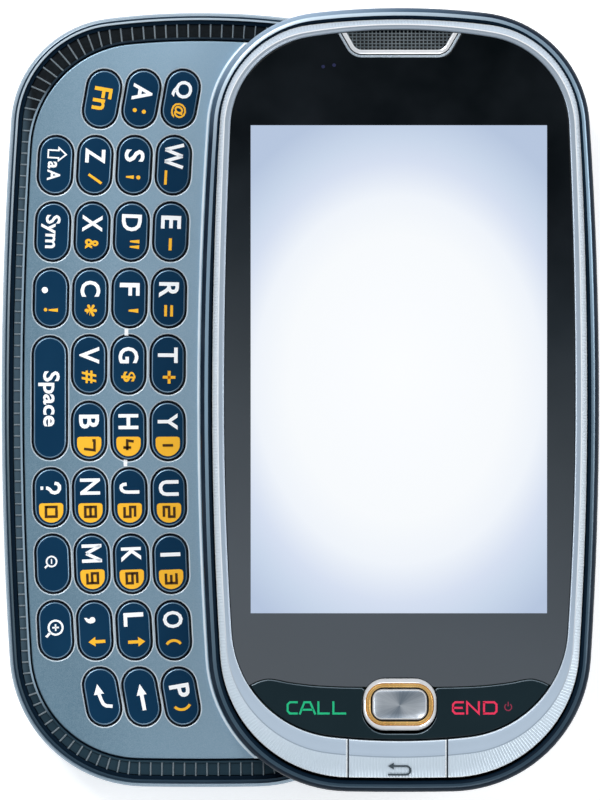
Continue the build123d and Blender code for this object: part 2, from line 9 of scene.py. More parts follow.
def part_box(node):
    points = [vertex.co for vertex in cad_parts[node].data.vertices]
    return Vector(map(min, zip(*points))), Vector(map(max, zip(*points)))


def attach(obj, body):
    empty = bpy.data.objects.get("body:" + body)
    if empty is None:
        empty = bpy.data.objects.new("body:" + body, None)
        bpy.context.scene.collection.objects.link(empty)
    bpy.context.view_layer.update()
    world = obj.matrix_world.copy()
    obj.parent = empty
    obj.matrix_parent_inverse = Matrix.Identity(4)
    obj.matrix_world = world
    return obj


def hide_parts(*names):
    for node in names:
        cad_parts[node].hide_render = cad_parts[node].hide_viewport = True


# Everything is shaped in millimetres, in the frame's own axes, and made metres when it is finished.
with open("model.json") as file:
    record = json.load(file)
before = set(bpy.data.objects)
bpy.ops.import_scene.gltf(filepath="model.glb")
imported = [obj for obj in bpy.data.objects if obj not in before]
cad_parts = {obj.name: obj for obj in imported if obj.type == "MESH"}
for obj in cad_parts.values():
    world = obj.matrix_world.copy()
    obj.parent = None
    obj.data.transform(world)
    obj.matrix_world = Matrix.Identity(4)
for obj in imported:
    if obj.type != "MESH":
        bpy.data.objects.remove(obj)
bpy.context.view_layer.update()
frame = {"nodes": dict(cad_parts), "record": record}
bodyOf = {node: body for body, nodes in frame["record"]["behaviour"]["bodies"].items() for node in nodes}
scene = bpy.context.scene
mm = 0.001
print("stage: frame loaded")


def boxOf(node):
    low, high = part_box(node)
    return low / mm, high / mm


class Wire:
    # A socket that can be used in sums
    def __init__(self, nodes, socket):
        self.nodes = nodes
        self.socket = socket

    def math(self, operation, *others, **settings):
        inputs = dict(enumerate((self, *others)))
        return self.nodes.wire("ShaderNodeMath", {"operation": operation, **settings}, inputs)

    def __add__(self, other):
        return self.math("ADD", other)

    __radd__ = __add__

    def __mul__(self, other):
        return self.math("MULTIPLY", other)

    __rmul__ = __mul__

    def __sub__(self, other):
        return self.math("SUBTRACT", other)

    def __rsub__(self, other):
        return self.nodes.wire("ShaderNodeMath", {"operation": "SUBTRACT"}, {0: other, 1: self})

    def __truediv__(self, other):
        return self.math("DIVIDE", other)

    def __abs__(self):
        return self.math("ABSOLUTE")

    def clamp(self):
        return self.math("MULTIPLY", 1.0, use_clamp=True)

    def rise(self, low, high):
        # 0 below low, 1 above high, straight between
        return ((self - low) * (1 / (high - low))).clamp()


class Nodes:
    # A node tree with short ways to add to it
    def __init__(self, tree):
        self.tree = tree

    def add(self, kind, settings=None, inputs=None):
        node = self.tree.nodes.new(kind)
        for name, value in (settings or {}).items():
            if name == "stops":
                self.setStops(node.color_ramp, value)
            else:
                setattr(node, name, value)
        for name, value in (inputs or {}).items():
            if isinstance(value, Wire):
                value = value.socket
            if isinstance(value, bpy.types.NodeSocket):
                self.tree.links.new(value, node.inputs[name])
            else:
                node.inputs[name].default_value = value
        return node

    def setStops(self, ramp, stops):
        while len(ramp.elements) < len(stops):
            ramp.elements.new(1.0)
        for element, (place, shade) in zip(ramp.elements, stops):
            element.position = place
            element.color = shade

    def wire(self, kind, settings=None, inputs=None, output=0):
        return Wire(self, self.add(kind, settings, inputs).outputs[output])


def colour(red, green, blue):
    # Screen values from 0 to 255 as linear light
    def linear(value):
        value /= 255
        return value / 12.92 if value <= 0.04045 else ((value + 0.055) / 1.055) ** 2.4

    return (linear(red), linear(green), linear(blue), 1.0)


class Finish(Nodes):
    # One material: a Principled shader and what feeds it
    def __init__(self, name, **constants):
        self.material = bpy.data.materials.new(name)
        self.material.use_nodes = True
        super().__init__(self.material.node_tree)
        self.shader = self.tree.nodes["Principled BSDF"]
        for words, value in constants.items():
            self.shader.inputs[socketNames[words]].default_value = value

    def feed(self, words, wire):
        self.tree.links.new(wire.socket, self.shader.inputs[socketNames[words]])

    def place(self):
        # Object coordinates in millimetres
        spot = self.wire("ShaderNodeTexCoord", output="Object")
        return self.wire("ShaderNodeMapping", inputs={"Vector": spot, "Scale": (1 / mm, 1 / mm, 1 / mm)})

    def axes(self, spot):
        # Places across and along the phone
        split = self.add("ShaderNodeSeparateXYZ", inputs={0: spot})
        return [Wire(self, output) for output in split.outputs[:2]]

    def grain(self, spot, size, detail=2.0):
        settings = {"Vector": spot, "Scale": 1 / size, "Detail": detail, "Roughness": 0.5}
        return self.wire("ShaderNodeTexNoise", inputs=settings)

    def blend(self, factor, first, second):
        # The node's colours are its inputs 6 and 7 and its output 2
        return self.wire("ShaderNodeMix", {"data_type": "RGBA"}, {0: factor, 6: first, 7: second}, 2)

    def roughen(self, plain, *grains):
        # Each grain is a noise and what it adds to the roughness at its full height
        for noise, most in grains:
            plain = plain + noise * most
        self.feed("rough", plain)

    def relief(self, height, depth, strength=1.0):
        settings = {"Height": height, "Distance": depth * mm, "Strength": strength}
        self.feed("normal", self.wire("ShaderNodeBump", inputs=settings))


socketNames = {
    "colour": "Base Color",
    "metal": "Metallic",
    "rough": "Roughness",
    "specular": "Specular IOR Level",
    "coat": "Coat Weight",
    "coatRough": "Coat Roughness",
    "glow": "Emission Color",
    "glowStrength": "Emission Strength",
    "normal": "Normal",
}


# Part of the noise's range that is drawn out to run from 0 to 1
evenSpread = (0.35, 0.75)
sparseSpread = (0.4, 0.8)
# Most that a noise takes of a finish's second colour
hazeShare = 0.06
glintShare = 0.16
cloudShare = 0.08
fleckShare = 0.12
handlingShare = 0.5


def flakePaint(name, light, dark, slope, metal=0.55):
    # Silver-blue paint with fine metal flake, the flakes painted paler as glints, and painted shade that
    # makes it lighter or darker along one direction
    paint = Finish(name, metal=metal, coat=0.25, coatRough=0.12)
    spot = paint.place()
    x, y = paint.axes(spot)
    paintedShade = (x * slope[0] + y * slope[1] + slope[2]).clamp()
    flake = paint.grain(spot, size=0.09, detail=0.0).rise(low=0.3, high=0.75)
    cloud = paint.grain(spot, size=14.0)
    glint = (0.75, 0.85, 0.95, 1.0)
    base = paint.blend(flake * glintShare, paint.blend(paintedShade, dark, light), glint)
    paint.feed("colour", paint.blend(cloud.rise(low=0.4, high=0.7) * cloudShare, base, dark))
    paint.roughen(0.34, (flake, 0.1), (cloud, 0.05))
    paint.relief(flake, depth=0.004, strength=0.35)
    return paint.material


def glossPlastic(name, base, tint, rough=0.12, specular=0.5, coat=0.6):
    # Moulded gloss plastic with faint handling haze
    plastic = Finish(name, specular=specular, coat=coat, coatRough=0.04)
    spot = plastic.place()
    haze = plastic.grain(spot, size=9.0, detail=3.0).rise(*evenSpread)
    fine = plastic.grain(spot, size=0.6)
    plastic.feed("colour", plastic.blend(haze * handlingShare, base, tint))
    plastic.roughen(rough, (haze, 0.06), (fine, 0.03))
    plastic.relief(plastic.grain(spot, size=1.8, detail=1.0), depth=0.006, strength=0.2)
    return plastic.material


def mattPlastic(name, base, tint, size=0.25, rough=0.5):
    # Fine-grained plastic or rubber without a shine
    plastic = Finish(name, specular=0.35)
    spot = plastic.place()
    spark = plastic.grain(spot, size=size)
    plastic.feed("colour", plastic.blend(spark.rise(*evenSpread), base, tint))
    plastic.roughen(rough, (spark, 0.15))
    plastic.relief(spark, depth=0.01, strength=0.4)
    return plastic.material


def plainMetal(name, base, tint, rough=0.2, size=0.3, metal=1.0):
    # Smooth metal with faint stains
    steel = Finish(name, metal=metal)
    spot = steel.place()
    stain = steel.grain(spot, size=size * 12)
    fine = steel.grain(spot, size=size, detail=1.0)
    steel.feed("colour", steel.blend(stain.rise(low=0.35, high=0.7), base, tint))
    steel.roughen(rough, (fine, 0.08), (stain, 0.05))
    steel.relief(fine, depth=0.002, strength=0.3)
    return steel.material


def brushedMetal(name, base, tint, along, rough=0.28):
    # Fine straight brushing: noise drawn out along one direction
    steel = Finish(name, metal=1.0)
    spot = steel.place()
    drawn = steel.wire("ShaderNodeMapping", inputs={"Vector": spot, "Scale": along})
    streak = steel.wire("ShaderNodeTexNoise", inputs={"Vector": drawn, "Scale": 6.0, "Detail": 3.0})
    steel.feed("colour", steel.blend(streak.rise(low=0.3, high=0.7), base, tint))
    steel.roughen(rough, (streak, 0.15))
    steel.relief(streak, depth=0.003, strength=0.35)
    return steel.material


def spunMetal(name, middle, base, tint):
    # Lathe-spun face: streaks run out from the middle, and opposite quarters carry a painted highlight
    face = Finish(name, metal=0.85)
    x, y = face.axes(face.place())
    across, up = x - middle.x, y - middle.y
    turn = up.math("ARCTAN2", across)
    reach = (across * across + up * up).math("SQRT")

    def ripple(source, rate, start=0.0, kind="SINE"):
        return (source * rate + start).math(kind) * 0.5 + 0.5

    fan = ripple(turn, rate=2.0, start=0.7, kind="COSINE")
    wave = ripple(turn, rate=23.0)
    fine = ripple(turn, rate=61.0, start=1.3)
    rings = ripple(reach, rate=42.0)
    # The fan makes most of the painted highlight, and the ripples break it up
    light = (fan * 0.7 + wave * 0.08 + fine * 0.08 + rings * 0.14).rise(low=0.1, high=0.95)
    face.feed("colour", face.blend(light, base, tint))
    face.roughen(0.3, (rings, 0.08))
    face.relief(rings, depth=0.003, strength=0.25)
    return face.material


def windowFinish(name, middle, halfLength):
    # Black glass with a painted reflection: deep at the earpiece end, greyer towards the keys
    glass = Finish(name, specular=0.08, coat=0.0, rough=0.06)
    spot = glass.place()
    x, y = glass.axes(spot)
    shadePerWidth = -0.003  # painted shade, a little darker towards the right
    down = (middle.y - y) / (2 * halfLength) + 0.5
    side = (x - middle.x) * shadePerWidth
    stops = [
        (0.0, colour(3, 7, 10)),
        (0.2, colour(8, 13, 17)),
        (0.34, colour(30, 36, 41)),
        (0.55, colour(58, 64, 69)),
        (0.8, colour(76, 82, 88)),
        (1.0, colour(80, 85, 90)),
    ]
    shade = glass.wire("ShaderNodeValToRGB", {"stops": stops}, {0: down + side})
    haze = glass.grain(spot, size=11.0, detail=3.0)
    hazeShade = colour(90, 98, 108)
    glass.feed("colour", glass.blend(haze.rise(*sparseSpread) * hazeShare, shade, hazeShade))
    glass.roughen(0.05, (haze, 0.05))
    return glass.material


def screenFinish(name, low, high):
    # Lit panel showing a bare pale gradient: cool at the corners, near white in the middle
    panel = Finish(name, colour=(0.01, 0.01, 0.01, 1.0), specular=0.15, rough=0.15, glowStrength=1.0)
    spot = panel.place()
    x, y = panel.axes(spot)
    middle = (low + high) / 2
    half = (high - low) / 2
    acrossShare, upShare, upperShade = 0.45, 0.75, 0.05
    across = (x - middle.x) * (1 / half.x)
    up = (y - middle.y) * (1 / half.y)
    reach = (across * across * acrossShare + up * up * upShare).math("SQRT")
    stops = [
        (0.0, colour(250, 252, 255)),
        (0.5, colour(246, 249, 252)),
        (0.65, colour(238, 243, 250)),
        (0.78, colour(212, 222, 240)),
        (0.87, colour(199, 213, 233)),
        (1.0, colour(180, 196, 221)),
    ]
    sky = panel.wire("ShaderNodeValToRGB", {"stops": stops}, {0: reach + up * upperShade})
    panel.feed("glow", sky)
    return panel.material


def printFinish(name, ink, glow=0.0):
    # Silk-screened ink, faintly uneven; its glow, where given, is painted light, as the ink is no lamp
    film = Finish(name, specular=0.3, glowStrength=glow)
    fleck = film.grain(film.place(), size=0.2)
    thin = (*[channel * 0.8 for channel in ink[:3]], 1.0)
    shade = film.blend(fleck.rise(*sparseSpread) * fleckShare, ink, thin)
    film.feed("colour", shade)
    film.feed("glow", shade)
    film.roughen(0.4, (fleck, 0.1))
    return film.material


def rampFinish(name, stops, metal=0.25, rough=0.25, specular=0.4, lean=0.0, reach=52.0):
    # Satin metal or paint with painted light and shade that change along the phone, from its foot to its
    # earpiece
    satin = Finish(name, metal=metal, specular=specular)
    spot = satin.place()
    x, y = satin.axes(spot)
    along = y - (x - displayX) * lean
    shade = satin.wire("ShaderNodeValToRGB", {"stops": stops}, {0: along.rise(-reach, reach)})
    haze = satin.grain(spot, size=5.0)
    fine = satin.grain(spot, size=0.4, detail=1.0)
    hazeShade = colour(120, 134, 148)
    satin.feed("colour", satin.blend(haze.rise(*sparseSpread) * hazeShare, shade, hazeShade))
    satin.roughen(rough, (haze, 0.08), (fine, 0.04))
    satin.relief(fine, depth=0.002, strength=0.3)
    return satin.material


def sideFinish(name, middle, ends, shades, foot=-50.0):
    # Plastic painted lighter along the phone's sides and towards its foot, as painted light
    plastic = Finish(name, specular=0.15)
    spot = plastic.place()
    x, y = plastic.axes(spot)
    spark = plastic.grain(spot, size=0.3)
    dark = plastic.blend(spark.rise(*evenSpread), shades["base"], shades["tint"])
    dark = plastic.blend(y.rise(0.0, foot), dark, shades["foot"])
    plastic.feed("colour", plastic.blend(abs(x - middle).rise(*ends), dark, shades["side"]))
    plastic.roughen(0.4, (spark, 0.15))
    plastic.relief(spark, depth=0.01, strength=0.4)
    return plastic.material


def boardFinish(name):
    # Green lacquer with paler tracks along the borders of random cells
    board = Finish(name, specular=0.5)
    inputs = {"Vector": board.place(), "Scale": 0.6}
    cells = board.wire("ShaderNodeTexVoronoi", {"feature": "DISTANCE_TO_EDGE"}, inputs)
    tracks = 1.0 - cells.rise(low=0.02, high=0.07)
    lacquer, copper = colour(14, 70, 44), colour(40, 120, 76)
    board.feed("colour", board.blend(tracks, lacquer, copper))
    board.roughen(0.35, (tracks, 0.1))
    return board.material


smoothLimit = 35.0  # turn in degrees above which an edge stays sharp
ribSmoothLimit = 60.0
levelFace = 0.99999  # upright part of a normal from which a face is shaded flat
weldGap = 0.0005
leastMitre = 0.4  # keeps sharp bends from throwing their corners far out
parallel = 1e-9  # below this cross product two lines don't meet


class Shape:
    # Points and faces gathered from several parts, each with its finish
    def __init__(self, *solids):
        self.points = []
        self.faces = []
        self.paint = []
        for points, faces in solids:
            self.add(points, faces)

    def add(self, points, faces, finish=0, place=None):
        first = len(self.points)
        self.points += [place @ Vector(point) if place else Vector(point) for point in points]
        self.faces += [tuple(first + index for index in face) for face in faces]
        self.paint += finish if isinstance(finish, list) else [finish] * len(faces)


def buildPiece(name, shape, finishes, sharp=smoothLimit):
    mesh = bpy.data.meshes.new(name)
    mesh.from_pydata([tuple(point) for point in shape.points], [], shape.faces)
    for finish in finishes:
        mesh.materials.append(finish)
    mesh.polygons.foreach_set("material_index", shape.paint)
    made = bpy.data.objects.new(name, mesh)
    scene.collection.objects.link(made)
    tidyNormals(mesh, sharp)
    return made


def tidyNormals(mesh, sharp):
    work = bmesh.new()
    work.from_mesh(mesh)
    bmesh.ops.recalc_face_normals(work, faces=work.faces)
    work.to_mesh(mesh)
    work.free()
    mesh.shade_smooth()
    mesh.set_sharp_from_angle(angle=radians(sharp))
    for face in mesh.polygons:
        if abs(face.normal.z) > levelFace:
            face.use_smooth = False


def applyModifiers(made):
    bpy.context.view_layer.update()
    evaluated = made.evaluated_get(bpy.context.evaluated_depsgraph_get())
    mesh = bpy.data.meshes.new_from_object(evaluated)
    made.modifiers.clear()
    made.data = mesh


def cut(target, cutter, operation="DIFFERENCE"):
    change = target.modifiers.new(operation, "BOOLEAN")
    change.operation = operation
    change.solver = "EXACT"
    change.object = cutter
    applyModifiers(target)
    bpy.data.objects.remove(cutter)
    tidyNormals(target.data, smoothLimit)


def finishPiece(made, body, slot, *replaced):
    made.data.transform(Matrix.Scale(mm, 4))
    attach(made, body)
    if replaced:
        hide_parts(*replaced)


def loft(rings, closed=False):
    # Skin through loops of equally many points, capped at both ends or joined round
    count = len(rings[0])
    faces = []
    for level in range(len(rings) if closed else len(rings) - 1):
        low, high = level * count, (level + 1) % len(rings) * count
        for index in range(count):
            after = (index + 1) % count
            faces.append((low + index, low + after, high + after, high + index))
    if not closed:
        faces.append(tuple(reversed(range(count))))
        faces.append(tuple(range((len(rings) - 1) * count, len(rings) * count)))
    return [point for ring in rings for point in ring], faces


def paintedLoft(rings, finishes, closed=False):
    # A loft with a finish for each strip between two loops
    paint = [finish for finish in finishes for corner in rings[0]]
    if not closed:
        paint += [finishes[0], finishes[-1]]
    shape = Shape()
    shape.add(*loft(rings, closed), paint)
    return shape


def lift(loop, height):
    return [Vector((point[0], point[1], height)) for point in loop]


def around(loop):
    # Each point of a loop with the ones before and after it
    return zip(loop[-1:] + loop[:-1], loop, loop[1:] + loop[:1])


def sidesOf(loop):
    return list(zip(loop, loop[1:] + loop[:1]))


def crossed(first, second):
    return first.x * second.y - first.y * second.x


def mirrored(points):
    return [Vector((-point.x, point.y)) for point in reversed(points)]


def mitre(arriving, leaving, least=leastMitre):
    # Direction to the left at a bend, and how square it is to the line
    left = Vector((-arriving.y - leaving.y, arriving.x + leaving.x)).normalized()
    return left, max(left.dot(Vector((-arriving.y, arriving.x))), least)


def insetLoop(loop, gap):
    # Moves a counter-clockwise loop inwards, or outwards if the gap is negative
    moved = []
    for before, here, after in around(loop):
        inward, squareness = mitre((here - before).normalized(), (after - here).normalized())
        moved.append(here + inward * (gap / squareness))
    return moved


def plate(outer, holes, low, high, bevel, steps=3, outerFinish=0, holeFinish=0):
    # Flat plate with its upper edges rounded, round the outside and round each hole
    shape = Shape()
    edges = []
    for loop, side, finish in [(outer, 1, outerFinish)] + [(hole, -1, holeFinish) for hole in holes]:
        rings = [lift(loop, low), lift(loop, high - bevel)]
        for step in range(1, steps + 1):
            turn = step / steps * pi / 2
            inner = insetLoop(loop, side * bevel * (1 - cos(turn)))
            rings.append(lift(inner, high - bevel * (1 - sin(turn))))
        points, faces = loft(rings)
        shape.add(points, faces[:-2], [0] * len(loop) + [finish] * (len(loop) * steps))
        edges.append((rings[0], rings[-1]))
    for level in (0, 1):
        rims = [edge[level] for edge in edges]
        points = [point for rim in rims for point in rim]
        shape.add(points, tessellate_polygon(rims))
    return shape


def welded(made):
    work = bmesh.new()
    work.from_mesh(made.data)
    bmesh.ops.remove_doubles(work, verts=work.verts, dist=weldGap)
    work.to_mesh(made.data)
    work.free()
    tidyNormals(made.data, smoothLimit)
    return made


def rectangle(low, high):
    corners = (low[0], low[1]), (high[0], low[1]), (high[0], high[1]), (low[0], high[1])
    return [Vector(corner) for corner in corners]


def prism(loop, low, high):
    return loft([lift(loop, low), lift(loop, high)])


def box(low, high):
    return prism(rectangle(low, high), low[2], high[2])


# Steps in the three arcs of a quarter of an outline
arcSteps = (8, 22, 10)
fineSteps = (60, 70, 60)


def quarter(halfWidth, reach, sideRadius, endRadius, cornerRadius, arcs):
    # A quarter of the outline, from the middle of the side over the corner to the middle of the end
    side = Vector((halfWidth - sideRadius, 0.0))
    end = Vector((0.0, reach - endRadius))
    fromSide = sideRadius - cornerRadius
    fromEnd = endRadius - cornerRadius
    between = end - side
    unit = between.normalized()
    along = (fromSide**2 - fromEnd**2 + between.length_squared) / (2 * between.length)
    centre = side + unit * along + Vector((-unit.y, unit.x)) * sqrt(fromSide**2 - along**2)
    first, last = [atan2(centre.y - point.y, centre.x - point.x) for point in (side, end)]
    spans = [
        (side, sideRadius, 0.0, first),
        (centre, cornerRadius, first, last),
        (end, endRadius, last, pi / 2),
    ]
    points = [Vector((halfWidth, 0.0))]
    for (middle, radius, start, stop), steps in zip(spans, arcs):
        for step in range(1, steps + 1):
            turn = start + (stop - start) * step / steps
            points.append(middle + Vector((cos(turn), sin(turn))) * radius)
    return points


def outline(shape, inset=0.0, arcs=arcSteps):
    # Closed counter-clockwise loop from the middle of the right side
    upper, lower = [
        quarter(
            shape["halfWidth"] - inset,
            shape[end] - inset,
            shape.get(f"{end}Side", shape["sideRadius"]) - inset,
            shape[f"{end}Radius"] - inset,
            shape[f"{end}Corner"] - inset,
            arcs,
        )
        for end in ("top", "bottom")
    ]
    loop = upper + mirrored(upper[:-1])
    loop += [-point for point in lower[1:] + mirrored(lower[1:-1])]
    return [point + Vector((shape["x"], 0.0)) for point in loop]


displayLow, displayHigh = boxOf("slider_case")
baseLow, baseHigh = boxOf("base_case")
deckLow, deckHigh = boxOf("keyboard_deck")
glassLow, glassHigh = boxOf("front_window")
frameLow, frameHigh = boxOf("front_frame")
callLow, callHigh = boxOf("call_end_key")
displayX = (displayLow.x + displayHigh.x) / 2
baseX = (baseLow.x + baseHigh.x) / 2

halfShape = {
    "sideRadius": 550.0,
    "topRadius": 100.0,
    "topCorner": 15.7,
    "bottomRadius": 400.0,
    "bottomCorner": 18.8,
}


def fitted(low, high, x, **corners):
    # The halves' outline, filling a box
    half = {"x": x, "halfWidth": (high.x - low.x) / 2, "top": high.y, "bottom": -low.y}
    return {**halfShape, **half, **corners}


displayShape = fitted(displayLow, displayHigh, displayX)
baseShape = fitted(baseLow, baseHigh, baseX, topCorner=14.7, bottomCorner=18.1)
deckShape = fitted(deckLow, deckHigh, baseX, topCorner=14.5, bottomCorner=14.5)
windowGap = 0.05
# From the glass's sides, and from the upper end of the half
windowEdges = {"side": 0.12, "top": 2.94, "bottom": 6.85}
windowShape = {
    "x": displayX,
    "halfWidth": (glassHigh.x - glassLow.x) / 2 + windowGap + windowEdges["side"],
    "top": displayHigh.y - windowEdges["top"],  # the glass itself stops below this, where it is notched
    "bottom": displayHigh.y - windowEdges["bottom"],
    "sideRadius": 550.0,
    "topSide": 800.0,
    "bottomSide": 480.0,
    "topRadius": 75.0,
    "topCorner": 12.4,
    "bottomRadius": 82.0,
    "bottomCorner": 14.9,
}
crestShape = {
    **windowShape,
    "halfWidth": 24.33,
    "top": 50.18,
    "bottom": 47.7,
    "topCorner": 13.2,
    "bottomCorner": 15.6,
}
wallThickness = 1.5
past = 1.0  # how far cutters go past what they cut
print("stage: outlines ready")


def acrossReach(outer, inner):
    # From each point of a loop, square to it, to where the inner loop is met
    reach = []
    for before, here, after in around(outer):
        run = (after - before).normalized()
        inward = Vector((-run.y, run.x))
        nearest = None
        for a, b in sidesOf(inner):
            side = b - a
            across = crossed(inward, side)
            if abs(across) < parallel:
                continue
            far = crossed(a - here, side) / across
            share = crossed(a - here, inward) / across
            if far > 0 and 0 <= share <= 1 and (nearest is None or far < nearest):
                nearest = far
        reach.append(inward * nearest)
    return reach


def ribTree():
    # Bars across a path: each point's "reach" says how far and which way its bar goes
    tree = bpy.data.node_groups.new("ribsAcrossPath", "GeometryNodeTree")
    for name, kind in (
        ("Path", "NodeSocketGeometry"),
        ("Spacing", "NodeSocketFloat"),
        ("Width", "NodeSocketFloat"),
        ("Height", "NodeSocketFloat"),
        ("Finish", "NodeSocketMaterial"),
    ):
        tree.interface.new_socket(name=name, in_out="INPUT", socket_type=kind)
    tree.interface.new_socket(name="Ribs", in_out="OUTPUT", socket_type="NodeSocketGeometry")
    nodes = Nodes(tree)
    given = nodes.add("NodeGroupInput").outputs
    curve = nodes.add("GeometryNodeMeshToCurve", inputs={"Mesh": given["Path"]}).outputs[0]
    spaced = nodes.add(
        "GeometryNodeResampleCurve", {"mode": "LENGTH"}, {"Curve": curve, "Length": given["Spacing"]}
    ).outputs[0]
    reach = nodes.add(
        "GeometryNodeInputNamedAttribute", {"data_type": "FLOAT_VECTOR"}, {"Name": "reach"}
    ).outputs[0]
    half = nodes.add("ShaderNodeVectorMath", {"operation": "SCALE"}, {0: reach, "Scale": 0.5}).outputs[0]
    moved = nodes.add("GeometryNodeSetPosition", inputs={"Geometry": spaced, "Offset": half}).outputs[0]
    long = nodes.add("ShaderNodeVectorMath", {"operation": "LENGTH"}, {0: reach}).outputs[1]
    size = nodes.add(
        "ShaderNodeCombineXYZ", inputs={"X": given["Height"], "Y": given["Width"], "Z": long}
    ).outputs[0]
    turn = nodes.add(
        "FunctionNodeAxesToRotation",
        {"primary_axis": "Z", "secondary_axis": "X"},
        {"Primary Axis": reach, "Secondary Axis": (0.0, 0.0, 1.0)},
    ).outputs[0]
    # A bar one thick and one long, drawn out to size where it is placed
    bar = nodes.add(
        "GeometryNodeMeshCylinder", inputs={"Vertices": 8, "Radius": 0.5, "Depth": 1.0}
    ).outputs[0]
    bars = nodes.add(
        "GeometryNodeInstanceOnPoints",
        inputs={"Points": moved, "Instance": bar, "Rotation": turn, "Scale": size},
    ).outputs[0]
    solid = nodes.add("GeometryNodeRealizeInstances", inputs={0: bars}).outputs[0]
    painted = nodes.add(
        "GeometryNodeSetMaterial", inputs={"Geometry": solid, "Material": given["Finish"]}
    ).outputs[0]
    nodes.add("NodeGroupOutput", inputs={0: painted})
    return tree


ribsAcrossPath = ribTree()


def ribRow(name, points, reach, sizes, finish, closed=False):
    # Runs the rib tree on a path and keeps the plain mesh it makes
    sizes = {**sizes, "Finish": finish}
    count = len(points)
    edges = [(index, (index + 1) % count) for index in range(count if closed else count - 1)]
    mesh = bpy.data.meshes.new(name)
    mesh.from_pydata([tuple(point) for point in points], edges, [])
    stored = mesh.attributes.new("reach", "FLOAT_VECTOR", "POINT")
    stored.data.foreach_set("vector", [part for vector in reach for part in vector])
    made = bpy.data.objects.new(name, mesh)
    scene.collection.objects.link(made)
    change = made.modifiers.new("tree", "NODES")
    change.node_group = ribsAcrossPath
    for item in ribsAcrossPath.interface.items_tree:
        if item.in_out == "INPUT" and item.name in sizes:
            change[item.identifier] = sizes[item.name]
    applyModifiers(made)
    tidyNormals(made.data, ribSmoothLimit)
    return made


def ribbon(path, width, low, high, closed=False, least=0.45):
    # Bar of even width along a flat path, mitred at its bends
    rings = []
    count = len(path)
    for index, here in enumerate(path):
        before = path[index - 1] if closed or index else None
        after = path[(index + 1) % count] if closed or index < count - 1 else None
        arriving = (here - before).normalized() if before else (after - here).normalized()
        leaving = (after - here).normalized() if after else arriving
        normal, squareness = mitre(arriving, leaving, least)
        side = normal * (width / 2 / squareness)
        left, right = here + side, here - side
        rings.append([(*left, low), (*right, low), (*right, high), (*left, high)])
    return loft(rings, closed)


def circlePath(x, y, radius, steps=16, first=0.0, last=2 * pi):
    count = steps if last - first == 2 * pi else steps + 1
    turns = [first + (last - first) * step / steps for step in range(count)]
    return [Vector((x + radius * cos(turn), y + radius * sin(turn))) for turn in turns]


def stadium(width, length, inset=0.0, steps=12):
    # Loop with round ends, its length along Y
    radius = width / 2 - inset
    middle = length / 2 - width / 2
    turns = [pi * step / steps for step in range(steps + 1)]
    upper = [Vector((radius * cos(turn), middle + radius * sin(turn))) for turn in turns]
    return upper + [-point for point in upper]


def slab(loop, low, high):
    # Thin flat solid with any outline
    points, faces = prism(loop, low, high)
    count = len(loop)
    caps = tessellate_polygon([lift(loop, low)])
    lowCap = [tuple(reversed(face)) for face in caps]
    highCap = [tuple(index + count for index in face) for face in caps]
    return points, faces[:-2] + lowCap + highCap


def arrowHead(tip, along, half, length):
    side = Vector((-along.y, along.x))
    back = tip - along * length
    return [tip, back + side * half, back - side * half]


def arrow(tail, tip, stroke, half, length):
    # Outline of an arrow with a straight shaft
    along = (tip - tail).normalized()
    side = Vector((-along.y, along.x)) * (stroke / 2)
    point, left, right = arrowHead(tip, along, half, length)
    back = tip - along * length
    return [tail - side, back - side, right, point, left, back + side, tail + side]


def paths(*lists):
    return [[Vector(point) for point in points] for points in lists]


# Squarish strokes of the digits, in a box that is 1 wide and 1 high
digitStrokes = {
    "0": paths([(0, 0), (0, 1), (1, 1), (1, 0), (0, 0), (0, 0.2)]),
    "1": paths([(0.5, 0), (0.5, 1)]),
    "2": paths([(0, 1), (1, 1), (1, 0.5), (0, 0.5), (0, 0), (1, 0)]),
    "3": paths([(0, 1), (1, 1), (1, 0), (0, 0)], [(0.15, 0.5), (1, 0.5)]),
    "4": paths([(0.1, 1), (0, 0.38), (1, 0.38)], [(0.72, 0.75), (0.72, 0)]),
    "5": paths([(1, 1), (0, 1), (0, 0.55), (1, 0.55), (1, 0), (0, 0)]),
    "6": paths([(1, 1), (0, 1), (0, 0), (1, 0), (1, 0.55), (0, 0.55)]),
    "7": paths([(0, 0.8), (0, 1), (1, 1), (0.85, 0)]),
    "8": paths([(0, 0.5), (0, 1), (1, 1), (1, 0), (0, 0), (0, 0.5), (1, 0.5)]),
    "9": paths([(0, 0), (1, 0), (1, 1), (0, 1), (0, 0.45), (1, 0.45)]),
}


def glyph(text, height, width, weight):
    # Letters as a thin closed solid, one thick, centred, read along -Y with their tops towards +X
    curve = bpy.data.curves.new("glyph", "FONT")
    curve.body = text
    curve.offset = weight
    curve.extrude = 0.5
    curve.resolution_u = 3
    drawn = bpy.data.objects.new("glyph", curve)
    scene.collection.objects.link(drawn)
    bpy.context.view_layer.update()
    evaluated = drawn.evaluated_get(bpy.context.evaluated_depsgraph_get())
    mesh = bpy.data.meshes.new_from_object(evaluated)
    points = [vertex.co.copy() for vertex in mesh.vertices]
    faces = [tuple(polygon.vertices) for polygon in mesh.polygons]
    bpy.data.objects.remove(drawn)
    bpy.data.meshes.remove(mesh)
    lowX, highX = [pick(point.x for point in points) for pick in (min, max)]
    lowY, highY = [pick(point.y for point in points) for pick in (min, max)]
    up = height / (highY - lowY)
    along = width / (highX - lowX)
    middleX, middleY = (lowX + highX) / 2, (lowY + highY) / 2
    turned = [((y - middleY) * up, (middleX - x) * along, z + curve.extrude) for x, y, z in points]
    return turned, faces
